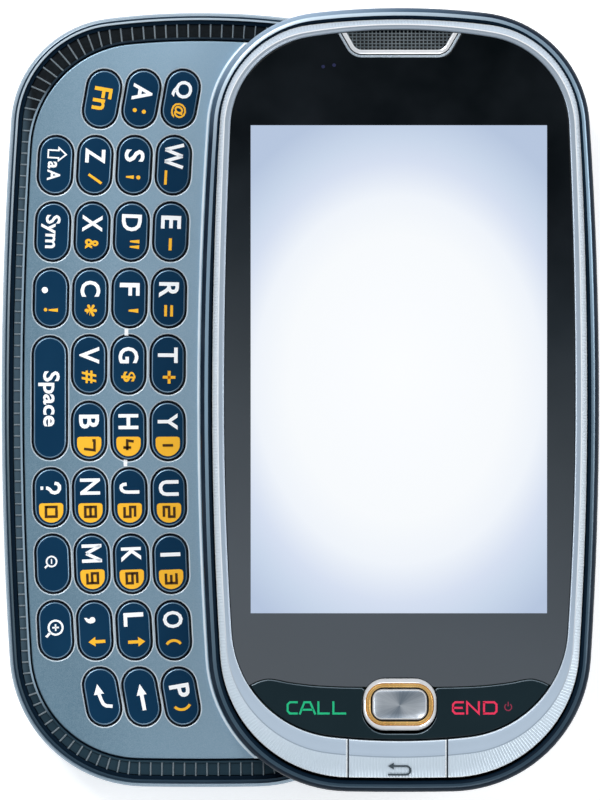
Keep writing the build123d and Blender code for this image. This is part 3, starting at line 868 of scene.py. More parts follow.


# Painted shade: the deck is lighter towards the right, where the display half shades it, and the case and
# cover darker towards the foot
deckPaint = flakePaint("deckPaint", colour(163, 197, 220), colour(104, 140, 161), slope=(0.038, 0.005, 1.33))
# Near white: a painted highlight on the bevels round the key holes and along the runway's edge
deckEdgeHighlight = plainMetal(
    "deckEdgeHighlight", colour(232, 246, 255), colour(212, 230, 244), rough=0.25, size=0.4, metal=0.15
)
casePaint = flakePaint("casePaint", colour(140, 158, 172), colour(112, 134, 150), slope=(0.0, 0.008, 0.5))
rimShine = rampFinish("rimShine", [
    (0.05, colour(44, 66, 82)), (0.4, colour(96, 114, 124)), (0.95, colour(190, 206, 218)),
])
rimDark = glossPlastic("rimDark", colour(26, 46, 62), colour(38, 62, 80), rough=0.3, specular=0.25, coat=0.0)
coverPaint = flakePaint("coverPaint", colour(134, 152, 166), colour(108, 130, 146), slope=(0.0, 0.008, 0.5))
rimTrench = glossPlastic(
    "rimTrench", colour(5, 22, 36), colour(10, 30, 46), rough=0.5, specular=0.05, coat=0.0
)
# Navy, painted lighter at the upper end of the display rim as a highlight, most at the upper left
rimGlossTopHighlight = rampFinish("rimGlossTopHighlight", [
    (0.0, colour(10, 28, 42)), (0.88, colour(6, 24, 42)), (0.93, colour(70, 92, 112)),
    (0.985, colour(150, 172, 194)),
], metal=0.0, rough=0.32, specular=0.08, lean=0.45, reach=60.0)
rimSheen = rampFinish("rimSheen", [
    (0.067, colour(44, 66, 82)), (0.25, colour(60, 84, 100)), (0.408, colour(96, 118, 134)),
    (0.592, colour(128, 156, 176)), (0.85, colour(120, 142, 160)), (0.967, colour(200, 218, 232)),
], lean=0.45, reach=60.0)
# The band and its lip are painted lighter along the phone's sides and towards the foot, as painted light
bandBlack = sideFinish("bandBlack", middle=baseX, ends=(22.5, 24.0), shades={
    "base": colour(8, 14, 18), "tint": colour(16, 24, 30),
    "foot": colour(32, 54, 66), "side": colour(62, 82, 95),
})
bandLip = sideFinish("bandLip", middle=baseX, ends=(20.0, 22.5), shades={
    "base": colour(20, 34, 46), "tint": colour(30, 46, 58),
    "foot": colour(36, 58, 70), "side": colour(138, 160, 176),
})
ribGrey = mattPlastic("ribGrey", colour(112, 124, 132), colour(136, 148, 156), size=0.3, rough=0.35)
# The silver frame carries painted light and shade along the phone: the smooth band is lighter at the foot,
# the ribbed slope nearly even
frameSmooth = rampFinish("frameSmooth", [
    (0.1, colour(184, 201, 218)), (0.28, colour(160, 176, 192)), (0.8, colour(158, 172, 186)),
    (0.97, colour(150, 162, 174)),
])
frameRibbed = rampFinish("frameRibbed", [
    (0.1, colour(206, 221, 233)), (0.28, colour(208, 220, 229)), (0.8, colour(206, 217, 227)),
    (0.97, colour(198, 211, 224)),
])
# The groove strip beside the crest is painted near white as a highlight, greyer at the foot
frameGrooveHighlight = rampFinish("frameGrooveHighlight", [
    (0.1, colour(156, 172, 188)), (0.28, colour(236, 242, 248)), (0.8, colour(240, 246, 250)),
    (0.97, colour(250, 252, 254)),
])
# The lip round the glass is painted light at the foot as a highlight and darker towards the earpiece as shade
frameLip = rampFinish("frameLip", [
    (0.05, colour(226, 238, 248)), (0.2, colour(180, 194, 208)), (0.8, colour(166, 180, 194)),
    (0.97, colour(110, 124, 138)),
])
# The inner edge that turns down to the glass is painted dark as shade
frameInnerShade = plainMetal("frameInnerShade", colour(54, 64, 72), colour(40, 48, 56), rough=0.3, size=0.4, metal=0.3)
# Near white: a painted highlight on the frame's rounded shoulder and beside the back key's cuts
frameEdgeHighlight = plainMetal(
    "frameEdgeHighlight", colour(240, 246, 250), colour(224, 234, 242), rough=0.2, size=0.4, metal=0.3
)
chrome = plainMetal("chrome", colour(250, 251, 253), colour(234, 238, 243), rough=0.1, size=0.3, metal=0.5)
trimGrey = plainMetal(
    "trimGrey", colour(186, 199, 210), colour(170, 184, 196), rough=0.2, size=0.3, metal=0.4
)
goldMetal = plainMetal(
    "goldMetal", colour(232, 190, 118), colour(206, 158, 86), rough=0.2, size=0.3, metal=0.55
)
darkGap = mattPlastic("darkGap", colour(5, 9, 13), colour(11, 16, 21))
goldGap = mattPlastic("goldGap", colour(52, 44, 30), colour(70, 58, 38))
railSteel = brushedMetal("railSteel", colour(150, 152, 156), colour(120, 122, 126), along=(0.08, 1.0, 1.0))
screwSteel = plainMetal("screwSteel", colour(120, 122, 126), colour(90, 92, 98), rough=0.3)
keyNavy = glossPlastic("keyNavy", colour(6, 47, 76), colour(14, 58, 88), rough=0.3, specular=0.12, coat=0.0)
# The keys' walls and chamfer are painted near black as shade, and the line inside them paler as a painted
# highlight
keyEdgeShade = glossPlastic("keyEdgeShade", colour(4, 16, 34), colour(8, 24, 44), rough=0.3, specular=0.15, coat=0.0)
keyLineHighlight = plainMetal(
    "keyLineHighlight", colour(132, 164, 188), colour(104, 138, 164), rough=0.25, size=0.4, metal=0.35
)
printWhite = printFinish("printWhite", colour(246, 249, 252), glow=0.1)
printYellow = printFinish("printYellow", colour(246, 184, 46), glow=0.08)
printDark = printFinish("printDark", colour(64, 40, 12))
callGreen = printFinish("callGreen", colour(24, 168, 116), glow=0.12)
endRed = printFinish("endRed", colour(214, 46, 82), glow=0.12)
powerRed = printFinish("powerRed", colour(134, 40, 66), glow=0.1)
iconGrey = printFinish("iconGrey", colour(58, 70, 78))
sensorBlue = printFinish("sensorBlue", colour(24, 30, 66))
callGloss = glossPlastic(
    "callGloss", colour(20, 35, 41), colour(26, 42, 48), rough=0.16, specular=0.15, coat=0.0
)
# Paler finish: a painted highlight along the call panel's upper bevel
callEdgeHighlight = plainMetal(
    "callEdgeHighlight", colour(96, 112, 122), colour(80, 96, 106), rough=0.3, size=0.4, metal=0.3
)
circuitBoard = boardFinish("circuitBoard")
shieldSteel = plainMetal("shieldSteel", colour(150, 152, 156), colour(126, 128, 134), rough=0.35)
darkRubber = mattPlastic("darkRubber", colour(12, 16, 22), colour(24, 28, 36), size=0.4, rough=0.6)
batteryWrap = mattPlastic("batteryWrap", colour(40, 42, 46), colour(60, 62, 66), size=0.6, rough=0.45)
panelBlack = mattPlastic("panelBlack", colour(20, 22, 26), colour(30, 32, 36))
meshWire = plainMetal("meshWire", colour(112, 122, 128), colour(84, 94, 100), rough=0.35, size=0.3, metal=0.6)
lensGlass = glossPlastic("lensGlass", colour(8, 10, 22), colour(20, 16, 44), rough=0.04)
volumeGloss = glossPlastic("volumeGloss", colour(150, 164, 178), colour(132, 148, 164), rough=0.25)
windowGlass = windowFinish("windowGlass", Vector((displayX, 0.0)), windowShape["top"])
print("stage: finishes ready")

displayCase = {
    "backRound": 1.2,
    "steps": 8,
    "floor": 1.0,
    "slotWidth": 1.9,
    "slotMiddle": 26.0,
    "slotLow": -22.95,
    "slotHigh": 21.65,
    # Loops over the rim: inset, drop below the rim's top, finish of the strip that ends there
    "rim": (
        (0.0, 1.1, 0), (0.06, 0.8, 0), (0.16, 0.55, 0), (0.32, 0.34, 0), (0.5, 0.18, 0), (0.56, 0.12, 0),
        (0.84, 0.01, 1), (1.02, 0.0, 1), (1.08, 0.04, 2), (1.3, 0.1, 2), (1.5, 0.4, 2),
    ),
}


def trayForm(shape, low, high, floor, size):
    # A half's case: the rounded back edge, the wall, the rim and the hollow inside
    backRound, steps = size["backRound"], size["steps"]
    rings = []
    for step in range(steps + 1):
        turn = step / steps * pi / 2
        loop = outline(shape, backRound * (1 - sin(turn)))
        rings.append(lift(loop, low + backRound * (1 - cos(turn))))
    finishes = [0] * steps
    for inset, drop, finish in size["rim"]:
        rings.append(lift(outline(shape, inset), high - drop))
        finishes.append(finish)
    rings.append(lift(outline(shape, wallThickness), floor))
    return paintedLoft(rings, finishes + [2])


def makeDisplayCase():
    size = displayCase
    form = trayForm(displayShape, displayLow.z, displayHigh.z, displayLow.z + size["floor"], size)
    made = buildPiece("displayCase", form, [rimGlossTopHighlight, rimSheen, rimTrench])
    half = size["slotWidth"] / 2
    for middle in (-size["slotMiddle"], size["slotMiddle"]):
        low = (displayX + size["slotLow"], middle - half, displayLow.z - past)
        high = (displayX + size["slotHigh"], middle + half, displayLow.z + 2 * past)
        cut(made, buildPiece("slotCutter", Shape(box(low, high)), [darkGap]))
    finishPiece(made, "display_half", "rim_blue", "slider_case")


makeDisplayCase()
print("stage: display case made")

silverFrame = {
    "outerInset": 1.56,
    "footInset": 0.35,
    "shoulderDrop": 0.55,
    "shoulderRound": 0.1,
    "crestDrop": 0.02,
    "grooveWidth": 0.16,
    "grooveDepth": 0.03,
    "edgeRound": 0.13,
    "lipWidth": 0.14,
    "lipDrop": 0.04,
    "bandDrop": 0.01,
    "bandDip": 0.05,
    "bandSteps": 4,
    "ribs": {"Spacing": 0.42, "Width": 0.24, "Height": 0.14},
    "ribEndDrop": 0.05,
    "ribMargin": 0.3,
    "backHalf": 6.5,
    "backGap": 0.22,
    "splitX": -0.26,
    "splitEdge": 0.2,
    "splitSink": 0.06,
    "splitLift": 0.035,
    "sideSlack": 0.05,
}
frameShape = {
    **displayShape,
    "halfWidth": displayShape["halfWidth"] - silverFrame["sideSlack"],
    "bottom": displayShape["bottom"] - silverFrame["footInset"],
    "topSide": 700.0,
    "topCorner": 15.2,
}


def partWay(first, second, share):
    # Loop between two others
    return [a.lerp(b, share) for a, b in zip(first, second)]


def frameRings():
    # Loops from the outer foot over the crest to the inner foot, and the finish of each strip
    size = silverFrame
    top = frameHigh.z
    outer = outline(frameShape, size["outerInset"])
    crest = outline(crestShape)
    bandStart = outline(crestShape, size["grooveWidth"])
    lip = outline(windowShape, -size["edgeRound"] - size["lipWidth"])
    lipMiddle = outline(windowShape, -size["edgeRound"] - size["lipWidth"] / 2)
    edge = outline(windowShape, -size["edgeRound"] / 2)
    inner = outline(windowShape)
    shoulder = top - size["shoulderDrop"]
    steps = [
        (outer, frameLow.z, 0),
        (outer, shoulder - size["shoulderRound"], 0),
        (outline(frameShape, size["outerInset"] + size["shoulderRound"]), shoulder, 2),
        (crest, top - size["crestDrop"], 1),
        (partWay(crest, bandStart, 0.5), top - size["grooveDepth"], 3),
        (bandStart, top - size["bandDrop"], 3),
    ]
    for step in range(1, size["bandSteps"] + 1):
        share = step / size["bandSteps"]
        dip = size["bandDip"] * sin(share * pi)
        steps.append((partWay(bandStart, lip, share), top - size["bandDrop"] - dip, 0))
    steps += [
        (lipMiddle, top - size["lipDrop"], 0),
        (outline(windowShape, -size["edgeRound"]), top, 4),
        (edge, top - size["lipDrop"], 4),
        (inner, top - size["edgeRound"], 5),
        (inner, frameLow.z, 0),
    ]
    rings = [lift(loop, height) for loop, height, finish in steps]
    return rings, [finish for loop, height, finish in steps[1:]] + [0]


def backZone(gap):
    # The room of the back key, with a gap at its sides and three times that gap below it
    half = silverFrame["backHalf"] + gap
    low = boxOf("back_key")[0].z - gap * 3
    near, far = -windowShape["bottom"] + 2 * past, -displayShape["bottom"]
    middle = displayX + silverFrame["splitX"]
    return Shape(box((middle - half, far, low), (middle + half, near, frameHigh.z + past)))


def frameRibs(name, body, keep):
    size = silverFrame
    outer = outline(frameShape, size["outerInset"] + size["shoulderRound"], fineSteps)
    crest = outline(crestShape, 0.0, fineSteps)
    rise = Vector((0.0, 0.0, size["shoulderDrop"] - size["ribEndDrop"]))
    reach = [flat.to_3d() + rise for flat in acrossReach(outer, crest)]
    sink = size["ribs"]["Height"] / 6  # beds the bars in the slope
    starts = lift(outer, frameHigh.z - size["shoulderDrop"] - sink)
    inside = [keep(start) for start in starts]
    first = next(index for index in range(len(starts)) if inside[index] and not inside[index - 1])
    run = [index for index in (*range(first, len(starts)), *range(first)) if inside[index]]
    starts, reach = [[row[index] for index in run] for row in (starts, reach)]
    finishPiece(ribRow(name, starts, reach, size["ribs"], frameRibbed), body, "frame_silver")


def footAt(ring, x):
    # Where a loop crosses a place across the phone, at its foot
    for a, b in sidesOf(ring):
        if a.y < 0 and b.y < 0 and (a.x - x) * (b.x - x) <= 0 and a.x != b.x:
            return a.lerp(b, (x - a.x) / (b.x - a.x))


def makeSplitEdges():
    # Bevel on the left of each cut between the frame and the back key, painted bright as a highlight
    size = silverFrame
    rings = frameRings()[0]
    half, sink, rise = size["splitEdge"] / 2, size["splitSink"], size["splitLift"]
    corners = ((-half, -sink), (half, -sink), (half, rise), (-half, rise))
    edges = {"display_half": -size["backHalf"] - size["backGap"], "back_key": size["backHalf"]}
    for body, along in edges.items():
        sections = []
        for ring in rings[2:-2]:
            foot = footAt(ring, displayX + size["splitX"] + along - half)
            sections.append([foot + Vector((x, 0.0, z)) for x, z in corners])
        finishPiece(buildPiece("splitEdges", Shape(loft(sections)), [frameEdgeHighlight]), body, "frame_silver")


def makeFrame():
    size = silverFrame
    shape = paintedLoft(*frameRings(), closed=True)
    finishesUsed = [frameSmooth, frameRibbed, frameEdgeHighlight, frameGrooveHighlight, frameLip, frameInnerShade]
    made = buildPiece("silverFrame", shape, finishesUsed)
    cut(made, buildPiece("backCutter", backZone(size["backGap"]), finishesUsed))
    finishPiece(made, "display_half", "frame_silver", "front_frame")
    key = buildPiece("backKey", shape, finishesUsed)
    cut(key, buildPiece("backCutter", backZone(0.0), finishesUsed), "INTERSECT")
    finishPiece(key, "back_key", "frame_silver", "back_key")
    middle = displayX + size["splitX"]
    nearKey = size["backHalf"] - size["ribMargin"]
    offKey = size["backHalf"] + size["backGap"] + size["ribMargin"]
    frameRibs("backKeyRibs", "back_key", lambda spot: spot.y < 0 and abs(spot.x - middle) < nearKey)
    frameRibs("frameRibs", "display_half", lambda spot: spot.y > 0 or abs(spot.x - middle) > offKey)


makeFrame()
makeSplitEdges()
print("stage: silver frame and ribs made")

backIcon = {
    "stroke": 0.24,
    "upper": -48.81,
    "lower": -49.97,
    "left": -1.55,
    "right": 0.85,
    "headLength": 0.75,
    "headHalf": 0.45,
    "lift": 0.1,
    "sink": 0.2,
}


def makeBackIcon():
    # Hooked arrow printed on the ribbed slope, so it leans with it
    size = backIcon
    low, high = -size["sink"], size["lift"]
    radius = (size["upper"] - size["lower"]) / 2
    start = Vector((size["left"] + size["headLength"], size["upper"]))
    bend = circlePath(size["right"], size["lower"] + radius, radius, steps=8, first=pi / 2, last=-pi / 2)
    hook = [start, *bend, Vector((size["left"], size["lower"]))]
    tip = Vector((size["left"], size["upper"]))
    head = arrowHead(tip, Vector((-1.0, 0.0)), size["headHalf"], size["headLength"])
    shape = Shape(ribbon(hook, size["stroke"], low, high), slab(head, low, high))
    crest = crestShape["bottom"]
    slope = silverFrame["shoulderDrop"] / (displayShape["bottom"] - silverFrame["outerInset"] - crest)
    for point in shape.points:
        point.z += frameHigh.z + (point.y + crest) * slope
        point.x += displayX
    finishPiece(buildPiece("backIcon", shape, [iconGrey]), "back_key", "frame_silver")


makeBackIcon()

frontGlass = {
    "bevel": 0.05,
    "screenGap": 0.02,
    "keyGap": 0.12,
    "callEdge": (
        (4.9, -38.25), (10.6, -38.08), (14.7, -37.62), (17.3, -37.15), (18.7, -37.4), (20.1, -38.05),
        (21.6, -39.0),
    ),
    "edgeSamples": 40,
    "tipLow": 17.0,
    "tipHigh": 21.6,
    "halvings": 40,
    "join": 0.02,  # points nearer than this to a joint of two edges are left out
}


def smoothEdge(points):
    # Curve through a few points, level at its start
    slopes = []
    for index in range(len(points)):
        before = points[max(index - 1, 0)]
        after = points[min(index + 1, len(points) - 1)]
        slopes.append((after[1] - before[1]) / (after[0] - before[0]))
    slopes[0] = 0.0

    def height(x):
        x = min(max(x, points[0][0]), points[-1][0])
        for index in range(len(points) - 1):
            (x0, y0), (x1, y1) = points[index], points[index + 1]
            if x <= x1:
                break
        span = x1 - x0
        share = (x - x0) / span
        rest = 1 - share
        rising = (1 + 2 * share) * rest**2 * y0 + share * rest**2 * slopes[index] * span
        return rising + share**2 * (3 - 2 * share) * y1 - share**2 * rest * slopes[index + 1] * span

    return height


callHeight = smoothEdge(frontGlass["callEdge"])
ringLow, ringHigh = boxOf("ok_ring")
ringMiddle = (ringLow + ringHigh) / 2
ringSize = ringHigh - ringLow
ringRadius = 3.0
toDisplay = Matrix.Translation((displayX, 0.0, 0.0))


def roundedBox(width, length, radius, steps=10):
    # Counter-clockwise loop of a rectangle with round corners, from its lower right
    loop = []
    for quarterTurn, (right, up) in enumerate(((1, 1), (-1, 1), (-1, -1), (1, -1))):
        middle = Vector((right * (width / 2 - radius), up * (length / 2 - radius)))
        for step in range(steps + 1):
            turn = (quarterTurn + step / steps) * pi / 2
            loop.append(middle + Vector((cos(turn), sin(turn))) * radius)
    return loop


def ringLoop(gap):
    # Round the centre key's ring, from the middle of the display half
    loop = roundedBox(ringSize.x + 2 * gap, ringSize.y + 2 * gap, ringRadius + gap)
    return [point + Vector((0.0, ringMiddle.y)) for point in loop]


def windowLoop(gap):
    return [point - Vector((displayX, 0.0)) for point in outline(windowShape, gap)]


def placed(loop, place=toDisplay):
    return [(place @ point.to_3d()).xy for point in loop]


def sideAt(loop, y):
    # Where the right side of a loop is at a height
    for a, b in sidesOf(loop):
        if a.x > 0 and a.y != b.y and (a.y - y) * (b.y - y) <= 0:
            return a.x + (b.x - a.x) * (y - a.y) / (b.y - a.y)


def tipOf(loop, drop):
    # Where the panel's edge meets the side of the window
    low, high = frontGlass["tipLow"], frontGlass["tipHigh"]
    for halving in range(frontGlass["halvings"]):
        x = (low + high) / 2
        if sideAt(loop, callHeight(x) - drop) > x:
            low = x
        else:
            high = x
    return Vector((x, callHeight(x) - drop))


def edgePath(tip, drop, ringX):
    # Right half of the panel's upper edge, from the ring to the tip
    count = frontGlass["edgeSamples"]
    spots = [ringX + (tip.x - ringX) * index / count for index in range(1, count)]
    return [Vector((x, callHeight(x) - drop)) for x in spots] + [tip]


earpiece = {
    "lowHalf": 6.38,
    "low": 45.67,
    "lean": 30.0,
    "corner": 2.27,
    "gap": 0.06,
    "wall": 1.05,
    "cornerSteps": 8,
    "settlings": 8,
    "meshSteps": 40,
    "meshInset": 0.1,
    "meshDrops": (0.02, 0.1),
    "wires": {"Spacing": 0.52, "Width": 0.16, "Height": 0.16},
    # The trim: inset from its outer edge, height above the glass's underside, finish of what follows
    "profile": (
        (0.0, 0.0, 1), (0.0, 0.88, 1), (0.08, 0.97, 1), (0.2, 1.0, 1), (0.32, 0.96, 2), (0.35, 0.6, 2),
        (0.45, 0.6, 2), (0.48, 0.97, 0), (0.62, 1.04, 0), (0.85, 1.04, 0), (1.0, 0.96, 0), (1.05, 0.8, 0),
        (1.05, 0.0, 0),
    ),
}


def topAt(x):
    # Height of the glass's upper edge at a place across it
    radius = windowShape["topRadius"] - windowGap
    return windowShape["top"] - windowGap - radius + sqrt(radius**2 - x**2)


def earFoot(inset):
    # Half width and height of the earpiece's lower corners, and how far its sides lean out per rise
    lean = radians(earpiece["lean"])
    slope = sin(lean) / cos(lean)
    return earpiece["lowHalf"] - inset * (1 / cos(lean) - slope), earpiece["low"] + inset, slope


def earPath(inset):
    # Edge of the earpiece from its upper right end round the bottom to its upper left end
    size = earpiece
    lean = radians(size["lean"])
    lowHalf, lowY, slope = earFoot(inset)
    high = Vector((lowHalf, lowY))
    for settling in range(size["settlings"]):
        high = Vector((lowHalf + slope * (topAt(high.x) - lowY), topAt(high.x)))
    radius = size["corner"] - inset
    middle = Vector((lowHalf - radius * (1 / cos(lean) - slope), lowY + radius))
    last = -pi / 2
    path = [high]
    for step in range(size["cornerSteps"] + 1):
        turn = -lean + (last + lean) * step / size["cornerSteps"]
        path.append(middle + Vector((cos(turn), sin(turn))) * radius)
    return path + mirrored(path)


def makeWindow():
    loop = windowLoop(windowGap)
    tip = tipOf(loop, 0.0)
    start = atan2(tip.y, tip.x)
    ear = earPath(-earpiece["gap"])
    clear = ear[0].x + frontGlass["join"]
    keep = [point for point in loop if point.y > tip.y + frontGlass["join"]]
    keep = [point for point in keep if point.y <= 0 or abs(point.x) >= clear]
    keep.sort(key=lambda point: (atan2(point.y, point.x) - start) % (2 * pi))
    right = [point for point in keep if point.x > 0]
    left = [point for point in keep if point.x <= 0]
    ring = [point for point in ringLoop(windowGap) if point.y > callHeight(abs(point.x))]
    ring.sort(key=lambda point: point.x)
    edge = edgePath(tip, 0.0, ring[-1].x)
    outer = placed(right + ear + left + mirrored(edge) + ring + edge)
    shape = plate(outer, [screenLoop()], glassLow.z, glassHigh.z, frontGlass["bevel"], steps=2)
    made = welded(buildPiece("touchGlass", shape, [windowGlass]))
    finishPiece(made, "display_half", "window_black", "front_window")


screen = {"width": 39.55, "length": 65.1, "middleX": -0.12, "middleY": 4.1, "drop": 0.01, "thickness": 0.6}


def screenLoop(gap=0.0):
    half = Vector((screen["width"] / 2 + gap, screen["length"] / 2 + gap))
    middle = Vector((displayX + screen["middleX"], screen["middleY"]))
    return rectangle(middle - half, middle + half)


def makeScreen():
    corners = screenLoop(-frontGlass["screenGap"])
    low = Vector((*corners[0], glassHigh.z - screen["thickness"]))
    high = Vector((*corners[2], glassHigh.z - screen["drop"]))
    made = buildPiece("litScreen", Shape(box(low, high)), [screenFinish("litScreen", low, high)])
    finishPiece(made, "display_half", "display_panel")


callPanel = {
    "bevel": 0.14,
    # Rising and forward parts of the normals of the faces that carry the painted highlight along the upper
    # edge
    "edgeRise": (0.25, 0.99),
    "edgeForward": 0.2,
    "stroke": 0.27,
    "lift": 0.02,
    "sink": 0.1,
    "call": paths(
        [(-13.6, -40.3), (-14.65, -40.3), (-14.95, -40.6), (-14.95, -41.45), (-14.65, -41.8), (-13.6, -41.8)],
        [(-13.35, -41.93), (-12.72, -40.3), (-11.95, -40.3), (-11.25, -41.93)],
        [(-13.05, -41.3), (-11.55, -41.3)],
        [(-10.85, -40.17), (-10.85, -41.8), (-9.35, -41.8)],
        [(-8.85, -40.17), (-8.85, -41.8), (-7.15, -41.8)],
    ),
    "end": paths(
        [(8.55, -40.3), (7.4, -40.3), (7.1, -40.6), (7.1, -41.5), (7.4, -41.8), (8.6, -41.8)],
        [(7.1, -41.05), (8.4, -41.05)],
        [(8.98, -41.93), (8.98, -40.3), (10.55, -41.8), (10.55, -40.17)],
        [(11.1, -40.3), (12.6, -40.3), (12.9, -40.6), (12.9, -41.5), (12.6, -41.8), (11.1, -41.8)],
        [(11.24, -40.3), (11.24, -41.8)],
    ),
    "power": (14.46, -40.95, 0.46),
    "powerTurns": (125, 415),
    "powerBar": (0.7, 0.1),
    "powerStroke": 0.14,
}


def makeCallPanel():
    size = callPanel
    gap = frontGlass["keyGap"]
    loop = windowLoop(windowGap + gap)
    tip = tipOf(loop, gap)
    low = [point for point in loop if point.y < tip.y - frontGlass["join"]]
    low.sort(key=lambda point: point.x)
    under = [point for point in ringLoop(gap) if point.y < callHeight(abs(point.x)) - gap]
    under.sort(key=lambda point: (pi / 2 - atan2(point.y - ringMiddle.y, point.x)) % (2 * pi))
    edge = edgePath(tip, gap, under[0].x)
    outer = low + list(reversed(edge)) + under + list(reversed(mirrored(edge)))
    shape = plate(placed(outer), [], callLow.z, callHigh.z, size["bevel"])
    made = welded(buildPiece("callEndPanel", shape, [callGloss, callEdgeHighlight]))
    leastRise, mostRise = size["edgeRise"]
    # These faces get the paler finish, a painted highlight along the panel's upper edge
    for face in made.data.polygons:
        if leastRise < face.normal.z < mostRise and face.normal.y > size["edgeForward"]:
            face.material_index = 1
    finishPiece(made, "call_end_key", "call_panel", "call_end_key")
    x, y, radius = size["power"]
    first, last = [radians(turn) for turn in size["powerTurns"]]
    bar = [Vector((x, y + rise)) for rise in size["powerBar"]]
    power = (circlePath(x, y, radius, steps=14, first=first, last=last), bar)
    strokes = (size["stroke"], size["stroke"], size["powerStroke"])
    marks = Shape()
    for finish, lines in enumerate((size["call"], size["end"], power)):
        for path in lines:
            line = ribbon(path, strokes[finish], callHigh.z - size["sink"], callHigh.z + size["lift"])
            marks.add(*line, finish, toDisplay)
    made = buildPiece("callEndMarks", marks, [callGreen, endRed, powerRed])
    finishPiece(made, "call_end_key", "call_panel")


makeWindow()
makeScreen()
makeCallPanel()
print("stage: glass, screen and call panel made")

centreKey = {
    "shift": 0.13,
    # Ring: width, length and corner radius of each loop, its drop below the ring's top, its strip's finish
    "ring": (
        (9.8, 6.95, 2.9, 1.2, 0), (9.8, 6.95, 2.9, 0.3, 0), (9.72, 6.87, 2.86, 0.14, 0),
        (9.5, 6.65, 2.76, 0.02, 0), (9.3, 6.3, 2.65, 0.0, 0), (9.14, 5.9, 2.5, 0.04, 0),
        (9.06, 5.66, 2.42, 0.12, 0), (9.0, 5.56, 2.38, 0.24, 1), (8.92, 5.48, 2.32, 0.16, 1),
        (8.6, 5.24, 2.2, 0.05, 1), (8.1, 4.84, 1.95, 0.05, 1), (7.8, 4.58, 1.72, 0.16, 1),
        (7.66, 4.46, 1.58, 0.5, 2), (7.5, 4.3, 1.44, 0.8, 2),
    ),
    "key": (
        (7.36, 4.16, 1.34, 0.3, 0), (7.28, 4.08, 1.3, 0.14, 0), (7.1, 3.9, 1.22, 0.02, 0),
        (6.86, 3.66, 1.1, 0.0, 0), (6.7, 3.5, 1.03, 0.05, 1), (4.2, 2.2, 0.64, 0.1, 1),
        (1.6, 0.85, 0.25, 0.14, 1),
    ),
}


def keyRings(table, top):
    spot = ringMiddle.xy + Vector((0.0, centreKey["shift"]))
    return [
        lift([point + spot for point in roundedBox(width, length, radius)], top - drop)
        for width, length, radius, drop, finish in table
    ]


def makeCentreKey():
    size = centreKey
    rings = keyRings(size["ring"], ringHigh.z)
    rings += [lift(rings[-1], ringLow.z), lift(rings[0], ringLow.z)]
    # The last three strips go down inside, along the underside and up outside
    shape = paintedLoft(rings, [row[-1] for row in size["ring"][1:]] + [2, 0, 0], closed=True)
    made = buildPiece("centreRing", shape, [chrome, goldMetal, goldGap])
    finishPiece(made, "display_half", "ring_gold", "ok_ring")
    low, high = boxOf("ok_key")
    rings = keyRings(size["key"], high.z)
    shape = paintedLoft([lift(rings[0], low.z), *rings], [row[-1] for row in size["key"]])
    spun = spunMetal("okSpun", ringMiddle, colour(132, 146, 160), colour(214, 222, 230))
    finishPiece(buildPiece("centreKey", shape, [chrome, spun]), "ok_key", "ok_metal", "ok_key")


def makeEarpiece():
    size = earpiece
    rails = [lift(earPath(inset), glassLow.z + height) for inset, height, finish in size["profile"]]
    paint = [finish for inset, height, finish in size["profile"]] * (len(rails[0]) - 1)
    shape = Shape()
    shape.add(*loft([list(section) for section in zip(*rails)]), paint + [0, 0], toDisplay)
    made = buildPiece("earTrim", shape, [chrome, trimGrey, darkGap])
    finishPiece(made, "display_half", "trim_chrome", "earpiece_trim")
    # Woven mesh: wires down from the glass's upper edge, and wires across between the leaning sides
    inset = size["wall"] - size["meshInset"]
    lowHalf, lowY, slope = earFoot(inset)
    highHalf = earPath(inset)[0].x
    thick = size["wires"]["Height"]
    level = boxOf("earpiece_mesh")[1].z + thick / 4
    uprightDrop, crossingDrop = size["meshDrops"]
    spots = [highHalf * (1 - 2 * step / size["meshSteps"]) for step in range(1, size["meshSteps"])]
    starts = [Vector((x, topAt(x) - uprightDrop, level)) for x in spots]
    down = [Vector((0.0, lowY + max(abs(x) - lowHalf, 0.0) / slope - topAt(x), 0.0)) for x in spots]
    level += thick / 2
    ends = [Vector((-lowHalf, lowY, level)), Vector((-highHalf, topAt(highHalf) - crossingDrop, level))]
    over = [Vector((-2 * point.x, 0.0, 0.0)) for point in ends]
    for name, path, reach in (("earMeshUpright", starts, down), ("earMeshCrossing", ends, over)):
        made = ribRow(name, [toDisplay @ point for point in path], reach, size["wires"], meshWire)
        finishPiece(made, "display_half", "mesh_dark")


sensor = {"spots": ((-10.2, 44.45), (-8.75, 44.65)), "radius": 0.24, "steps": 14, "sink": 0.2, "lift": 0.015}


def makeSensor():
    size = sensor
    low, high = glassHigh.z - size["sink"], glassHigh.z + size["lift"]
    shape = Shape()
    for x, y in size["spots"]:
        shape.add(*slab(circlePath(x, y, size["radius"], size["steps"]), low, high), place=toDisplay)
    finishPiece(buildPiece("nearSensor", shape, [sensorBlue]), "display_half", "window_black")


makeCentreKey()
makeEarpiece()
makeSensor()
print("stage: centre key, earpiece and sensor made")

